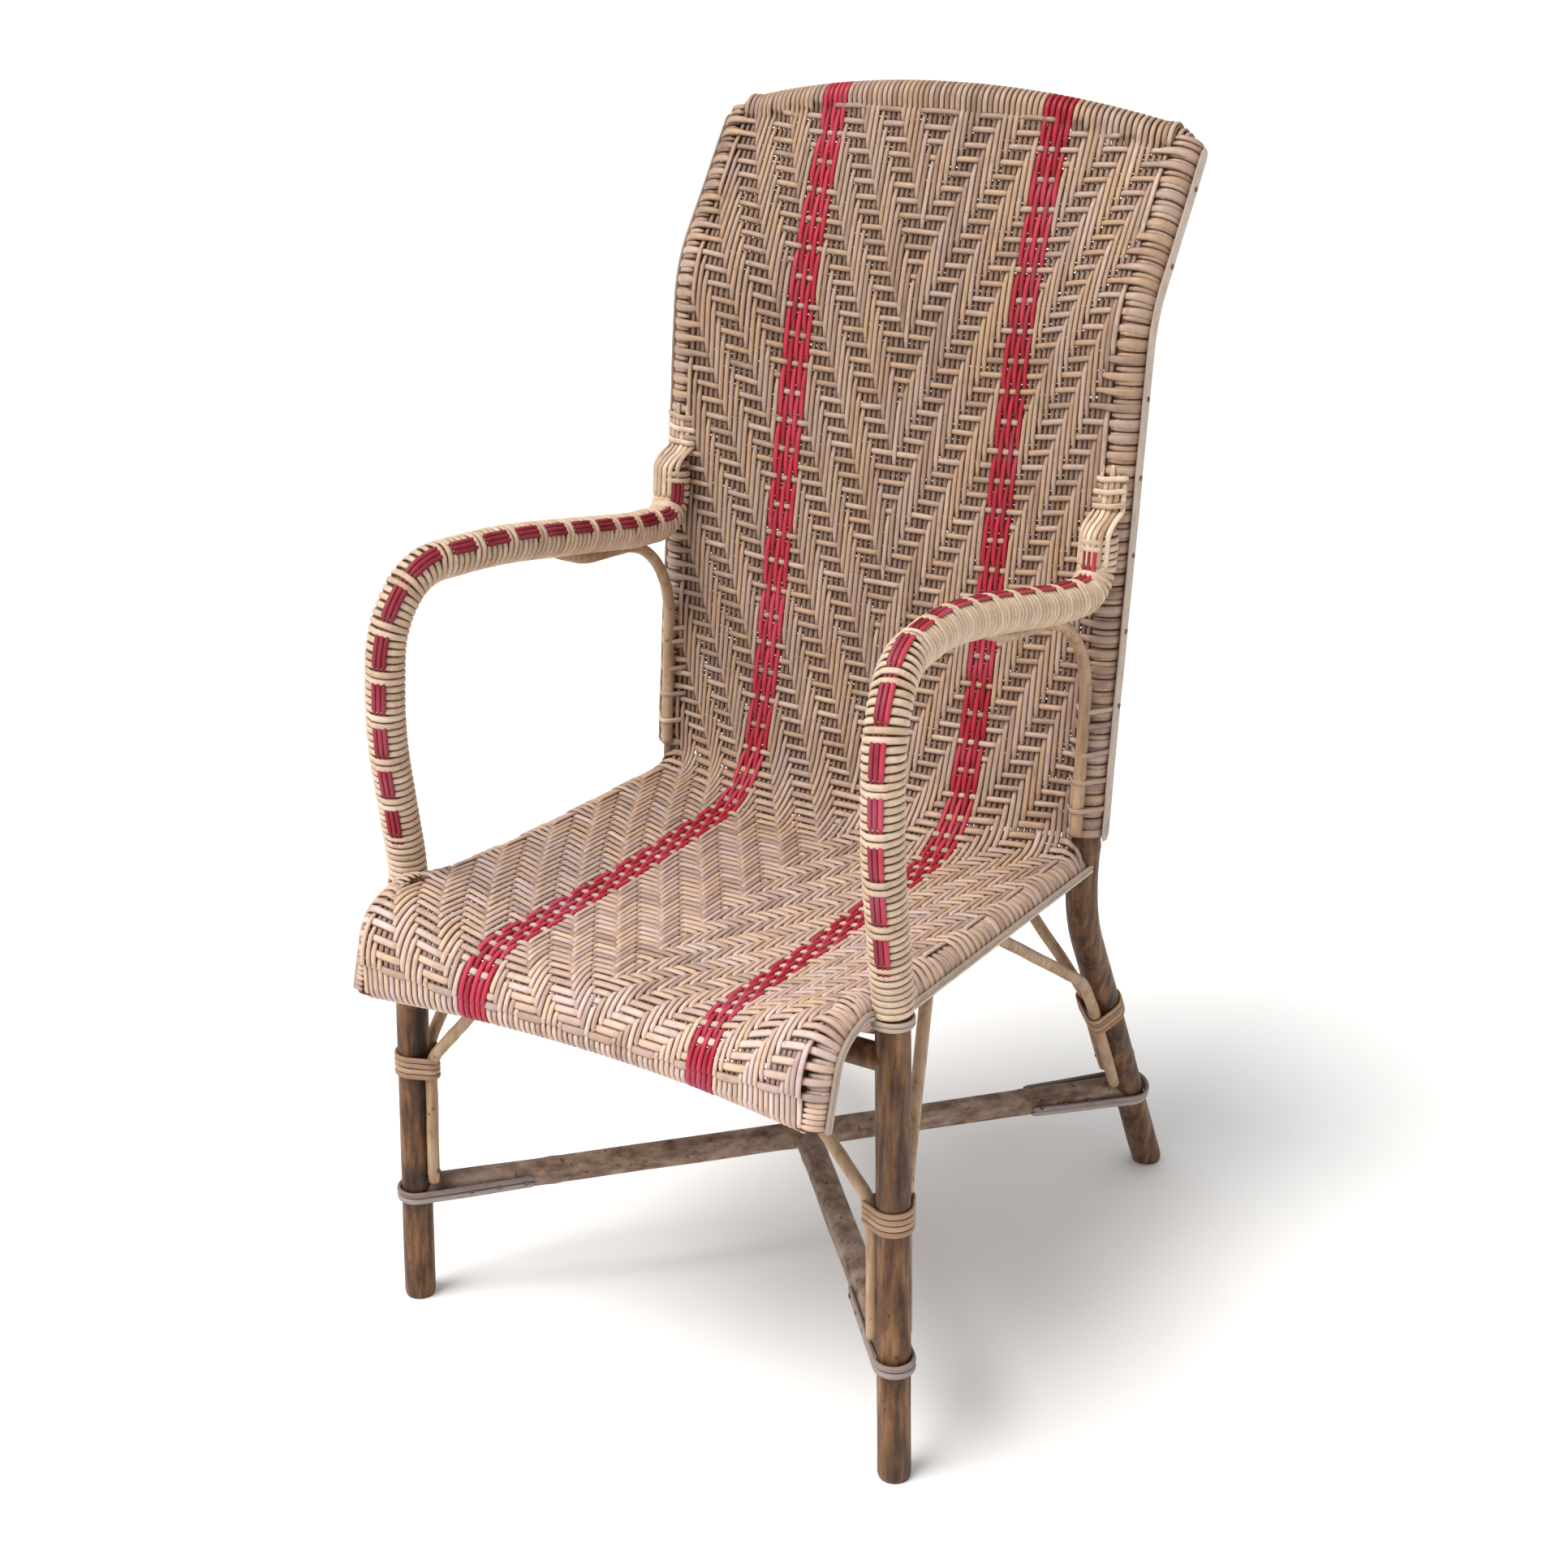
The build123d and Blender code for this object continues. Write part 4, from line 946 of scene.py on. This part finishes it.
for sideName, side in rightAndLeft:
    start = int(np.argmax(armRoute[:, 2] > armWinding["fromZ"]))
    line = flipped(evenly(armRoute[start:], 2.0), side)
    tangent, outside = aroundFrames(line, np.array([0.0, -1.0, 0.0]))
    sideways = np.cross(tangent, outside)
    length = lengthAlong(line)
    lean = np.interp(length, armWinding["leanLengths"], inlay["leanDegrees"][sideName])
    lean = np.radians(lean)[:, None]
    outside, sideways = (
        outside * np.cos(lean) + sideways * np.sin(lean), sideways * np.cos(lean) - outside * np.sin(lean),
    )
    turns = length[-1] / armWinding["pitch"]
    steps = int(turns * armWinding["pointsPerTurn"])
    spin = np.linspace(0, turns, steps)
    spots = spin / turns * length[-1]
    centre, out, cross = (placesAt(spots, length, v) for v in (line, outside, sideways))
    angle = spin * 2 * math.pi * side + math.pi
    turnNumber = np.floor(spin).astype(int)
    isPlain = turnNumber < armWinding["plainTurns"]
    isOver = ((turnNumber - armWinding["plainTurns"]) % cycleTurns >= armWinding["under"]) | isPlain
    facing = np.abs((angle + math.pi) % (2 * math.pi) - math.pi)
    onInlay = np.clip((inlay["spread"] + 0.25 - facing) / 0.25, 0, 1)
    radius = armWinding["radius"] + armWinding["bulge"] * onInlay * (isOver & ~isPlain)
    radius = radius - 0.5 * onInlay * (~isOver)
    radius = radius + wander(steps, 0.25, (31, 47, 83), chance)
    away = out * np.cos(angle)[:, None] + cross * np.sin(angle)[:, None]
    path = centre + away * radius[:, None]
    bundle = newBundle()
    shade = 0.5 + wander(steps, 0.5, (9, 23, 61), chance)
    addStrand(bundle, path, away, armWinding["halfWidth"], armWinding["halfThick"], 0.5)
    bundle["tone"][-1] = np.repeat(shade, 6)
    makePiece("arm_winding_" + sideName, bundle, caneArm, "arm_wrap_" + sideName)
    # the three red canes rise where they pass over the turns
    bundle = newBundle()
    firstSpot = armWinding["plainTurns"] * armWinding["pitch"]
    spots = np.arange(firstSpot - 12, length[-1] - 4, 1.6)
    turnHere = spots / armWinding["pitch"] - 0.5
    cycle = (turnHere - armWinding["plainTurns"]) % cycleTurns
    showing = np.clip(np.minimum(cycle + 0.35, armWinding["under"] + 0.35 - cycle) / 0.5, 0, 1)
    showing = np.where(turnHere < armWinding["plainTurns"] - 0.4, 0, showing)
    centre, out, cross = (placesAt(spots, length, v) for v in (line, outside, sideways))
    size = inlay["sunk"] + (inlay["raised"] - inlay["sunk"]) * showing
    for strand in (-1, 0, 1):
        turn = strand * inlay["spacing"] / inlay["raised"]
        away = out * math.cos(turn) + cross * math.sin(turn)
        path = centre + away * size[:, None]
        # showing also sets the painted shade where the red canes sink under the turns
        addStrand(bundle, path, away, inlay["halfWidth"], inlay["halfThick"], chance.random(), showing)
    makePiece("arm_red_canes_" + sideName, bundle, caneRed, "arm_inlay_" + sideName)
    # flat canes carry the winding from the end of the arm onto the upright
    bundle = newBundle()
    for shift, climb in zip(armEnd["shifts"], armEnd["steps"]):
        onArm = math.sqrt(armWinding["radius"] ** 2 - shift ** 2)
        onPole = math.sqrt(armEnd["poleRadius"] ** 2 - shift ** 2)
        rows = [(z, poleY(z) - armGap - onArm - 1.6) for z in np.arange(armEnd["from"], 704.5, 4.0)]
        rows.append((709.5, poleY(710) - armGap - onArm * 0.55))
        rows.append((713.0, poleY(714) - armGap + onArm * 0.15))
        rows += [(z, poleY(z) - onPole) for z in np.arange(718, armEnd["top"] + climb, 4.0)]
        line = evenly([(rearX + shift, y, z) for z, y in rows], 3.0)
        toFront = np.tile([shift / 24, -1.0, 0.0], (len(line), 1))
        toFront[:, 2] = np.clip(1 - np.abs(line[:, 2] - armEnd["bendZ"]) / 7, 0, 1) * 2
        line, toFront = flipped(line, side), unit(flipped(toFront, side))
        tone = chance.random()
        addStrand(bundle, line, toFront, armEnd["halfWidth"], armEnd["halfThick"], tone, sides=8)
    for step in armEnd["capSteps"]:  # short canes close the end of the arm
        halfSpan = math.sqrt(armEnd["capRadius"] ** 2 - step ** 2)
        span = np.linspace(-halfSpan, halfSpan, 6)
        capY = poleY(armEnd["capZ"]) - armGap + step
        cover = np.column_stack([rearX + span, np.full(6, capY), np.full(6, armEnd["capZ"])])
        upwards = np.tile([0.0, 0.0, 1.0], (6, 1))
        addStrand(bundle, flipped(cover, side), upwards, armEnd["halfWidth"], 1.3, chance.random())
    for number, z in enumerate(armEnd["bars"]):  # canes across hold the flat ones down
        span = np.linspace(-armEnd["barHalfLength"], armEnd["barHalfLength"], 14)
        lifted = np.sin(np.arange(14) * 0.9 + number * 1.7)
        barY = poleY(z) - np.sqrt(armEnd["barRadius"] ** 2 - span ** 2) - lifted
        bar = np.column_stack([rearX + span, barY, z + span * 0.12])
        facing = np.column_stack([span / 18, -np.ones(14), np.zeros(14)])
        addStrand(bundle, flipped(bar, side), unit(flipped(facing, side)), 2.6, 1.3, chance.random(), sides=8)
    makePiece("arm_end_canes_" + sideName, bundle, caneArm)
print("arms wound")

# Lashings, straps and bindings

lashing = {"turns": 4, "pitch": 5.4, "halfWidth": 2.65, "halfThick": 1.5, "frontZ": 242.0, "rearZ": 226.0}
lashingPlaces = (
    ("front_lashing", legAt(lashing["frontZ"]), frontAxis, poles["leg"], besideFront, 1),
    ("rear_lashing", rearLegAt(lashing["rearZ"]), rearAxis, poles["rear"], besideRear, -1),
)
chance = random.Random(31)
for sideName, side in rightAndLeft:
    for name, middle, axis, size, beside, backwards in lashingPlaces:
        xWay = unit(np.array([1.0, 0, 0]) - axis * axis[0])
        yWay = np.cross(axis, xWay) * backwards
        circles = [((0, 0), size), ((-beside, 0), poles["brace"]), ((0, beside), poles["brace"])]
        loop, outward = outlineAround(circles, lashing["halfThick"])
        normal = flipped(placed(outward, np.zeros(3), xWay, yWay), side)[::side]
        share = np.linspace(0, 1, len(loop))
        bundle = newBundle()
        for turn in range(lashing["turns"]):
            level = (turn - (lashing["turns"] - 1) / 2) * lashing["pitch"]
            tilt = (share - 0.5) * 1.2 + wander(len(loop), 0.35, (1, 2), chance)
            tilt = tilt - (tilt[-1] - tilt[0]) * (share - 0.5)
            path = flipped(placed(loop, middle, xWay, yWay) + axis * (level + tilt)[:, None], side)[::side]
            tone = 0.35 + chance.random() * 0.6
            addStrand(bundle, path, normal, lashing["halfWidth"], lashing["halfThick"], tone, None, 8, True)
        makePiece(name + "_turns_" + sideName, bundle, caneLashing, name + "_" + sideName)

strap = {"thickness": 3.2, "reach": 105.0, "drops": (3.1, -3.1), "halfWidth": 3.1, "halfThick": 1.9}
strapPlaces = (
    ("front_strap", frontJoint, flipped(rearJoint, -1), frontAxis, poles["leg"], 0.5),
    ("rear_strap", rearJoint, flipped(frontJoint, -1), rearAxis, poles["rear"], 1.6),
)
for sideName, side in rightAndLeft:
    for name, joint, far, axis, size, slack in strapPlaces:
        reach = unit(far - joint)
        upright = unit(axis - reach * (axis @ reach))
        sideways = np.cross(upright, reach)
        bend = size + slack + strap["thickness"] / 2
        turn = np.linspace(math.pi / 2, 3 * math.pi / 2, 15)
        arc = np.column_stack([-slack + bend * np.cos(turn), bend * np.sin(turn)])
        tail = np.array([[strap["reach"], poles["stretcher"] + strap["thickness"] / 2]])
        path = evenly(placed(np.concatenate([tail, arc, tail * [1, -1]]), joint, reach, sideways), 4.0)
        normal = flipped(np.cross(unit(np.gradient(path, axis=0)), upright), side)[::side]
        bundle = newBundle()
        for drop in strap["drops"]:
            sway = wander(len(path), 0.5, (1, 3), chance)
            line = flipped(path + upright * (drop + sway)[:, None], side)[::side]
            addStrand(bundle, line, normal, strap["halfWidth"], strap["halfThick"], chance.random(), sides=8)
        makePiece(name + "_cane_" + sideName, bundle, caneGrey, name + "_" + sideName)

binding = {
    "halfWidth": 2.1, "halfThick": 1.6, "drops": (-2.0, 2.0), "fromRail": 16.6,
    "ringMiddle": (237.3, 2.6, 414.0), "ringRadius": 16.2,
    "backHalfWidth": 7.5, "backHalfThick": 1.5, "fromPole": 19.05,
}
for sideName, side in rightAndLeft:
    bundle = newBundle()
    line = flipped(sideRailRoute + np.array([binding["fromRail"], 0, 0]), side)
    outward = np.tile([float(side), 0, 0], (len(line), 1))
    upward = unit(np.cross(outward, unit(np.gradient(line, axis=0))))
    for drop in binding["drops"]:
        sway = wander(len(line), 0.3, (4, 9), chance)
        strand = line + upward * (drop + sway)[:, None]
        addStrand(bundle, strand, outward, binding["halfWidth"], binding["halfThick"], chance.random())
    turn = np.linspace(0, 2 * math.pi, 41)[:-1]
    out = np.column_stack([np.cos(turn), np.sin(turn), np.zeros(len(turn))])
    for drop in binding["drops"]:
        ring = flipped(binding["ringMiddle"], side) + np.array([0, 0, drop]) + out * binding["ringRadius"]
        tone = chance.random()
        addStrand(bundle, ring, out, binding["halfWidth"], binding["halfThick"] + 0.2, tone, None, 8, True)
    makePiece("seat_binding_canes_" + sideName, bundle, canePale, "seat_binding_" + sideName)
    bundle = newBundle()
    foot = seatNode + (rearKnee - seatNode) * 0.45
    top = flarePoint + (crestCorner - flarePoint) * 0.98
    line, _ = bentRoute([foot, seatNode, flarePoint, top], [500, 120], 5.0)
    line = flipped(line + np.array([binding["fromPole"], 0, 0]), side)
    outward = np.tile([float(side), 0, 0], (len(line), 1))
    line[:, 1] += wander(len(line), 0.8, (2, 5, 9), chance)
    width = binding["backHalfWidth"] * (1 + wander(len(line), 0.06, (3, 7), chance))
    addStrand(bundle, line, outward, width, binding["backHalfThick"], 0.8, sides=10)
    makePiece("back_binding_cane_" + sideName, bundle, canePale, "back_binding_" + sideName)
print("lashings, straps and bindings made")

# CAD nodes that stay take a finish
nodeFinish = {slotName: material for material, slotName in (poleBrown, poleGrey, poleHoney, ironDull)}
slotOf = {part["node"]: part["material_slot"] for part in record["subparts"]}
for nodeName, node in frame["nodes"].items():
    if not node.hide_render:
        finish = nodeFinish.get(slotOf[nodeName], poleHoney[0])
        if not node.material_slots:
            node.data.materials.append(finish)
        for materialSlot in node.material_slots:
            materialSlot.material = finish
        print("node kept:", nodeName)

# Floor, light and camera

floorLook = {"size": 80.0, "colour": (0.93, 0.93, 0.925), "mottle": (0.86, 0.86, 0.855), "rough": 0.75}
bpy.ops.mesh.primitive_plane_add(size=floorLook["size"])
floor = bpy.context.object
floor.name = "floor"
floorMaterial, floorTree, floorShader = startMaterial("paleFloor")
floorPlace = floorTree.nodes.new("ShaderNodeTexCoord").outputs["Object"]
floorNoise = mathNode(floorTree, "MULTIPLY", noiseNode(floorTree, floorPlace, 3.0), 0.04)
floorColour = mixColours(floorTree, "MIX", floorNoise, floorLook["colour"], floorLook["mottle"])
feed(floorTree, floorShader, ("Base Color", floorColour), ("Roughness", floorLook["rough"]))
floor.data.materials.append(floorMaterial)

studio = {
    "world": 0.62,
    "sun": {"from": (-0.30, -0.50, 0.92), "strength": 3.5, "angle": 38.0, "colour": (1.0, 0.975, 0.95)},
}
world = bpy.data.worlds.new("studioWorld")
bpy.context.scene.world = world
world.use_nodes = True
feed(world.node_tree, world.node_tree.nodes["Background"], (0, (1.0, 1.0, 1.0)), (1, studio["world"]))


def aimAt(thing, target):
    direction = Vector(target) - thing.location
    thing.rotation_mode = "QUATERNION"
    thing.rotation_quaternion = direction.to_track_quat("-Z", "Y")


sun = bpy.data.lights.new("softSun", "SUN")
sun.energy = studio["sun"]["strength"]
sun.angle = math.radians(studio["sun"]["angle"])
sun.color = studio["sun"]["colour"]
sunObject = bpy.data.objects.new("softSun", sun)
sunObject.location = studio["sun"]["from"]
bpy.context.collection.objects.link(sunObject)
aimAt(sunObject, (0, 0, 0))

cameraLook = {
    "lens": 54.64, "sensor": 36.0, "azimuth": 31.545, "elevation": 21.718, "roll": 0.225,
    "target": (-0.15156, 0.22658, 0.36377), "distance": 2.39183,
}
lens = bpy.data.cameras.new("camera")
lens.sensor_width = cameraLook["sensor"]
lens.lens = cameraLook["lens"]
camera = bpy.data.objects.new("camera", lens)
bpy.context.collection.objects.link(camera)
azimuth, elevation, roll = (math.radians(cameraLook[key]) for key in ("azimuth", "elevation", "roll"))
level = math.cos(elevation)
back = Vector((math.sin(azimuth) * level, -math.cos(azimuth) * level, math.sin(elevation)))
target = Vector(cameraLook["target"])
camera.location = target + back * cameraLook["distance"]
aimAt(camera, target)
rollTurn = Matrix.Rotation(roll, 4, "Z").to_quaternion()
camera.rotation_quaternion = camera.rotation_quaternion @ rollTurn
bpy.context.scene.camera = camera
bpy.context.scene.view_settings.view_transform = "Standard"
print("floor, lights and camera placed")
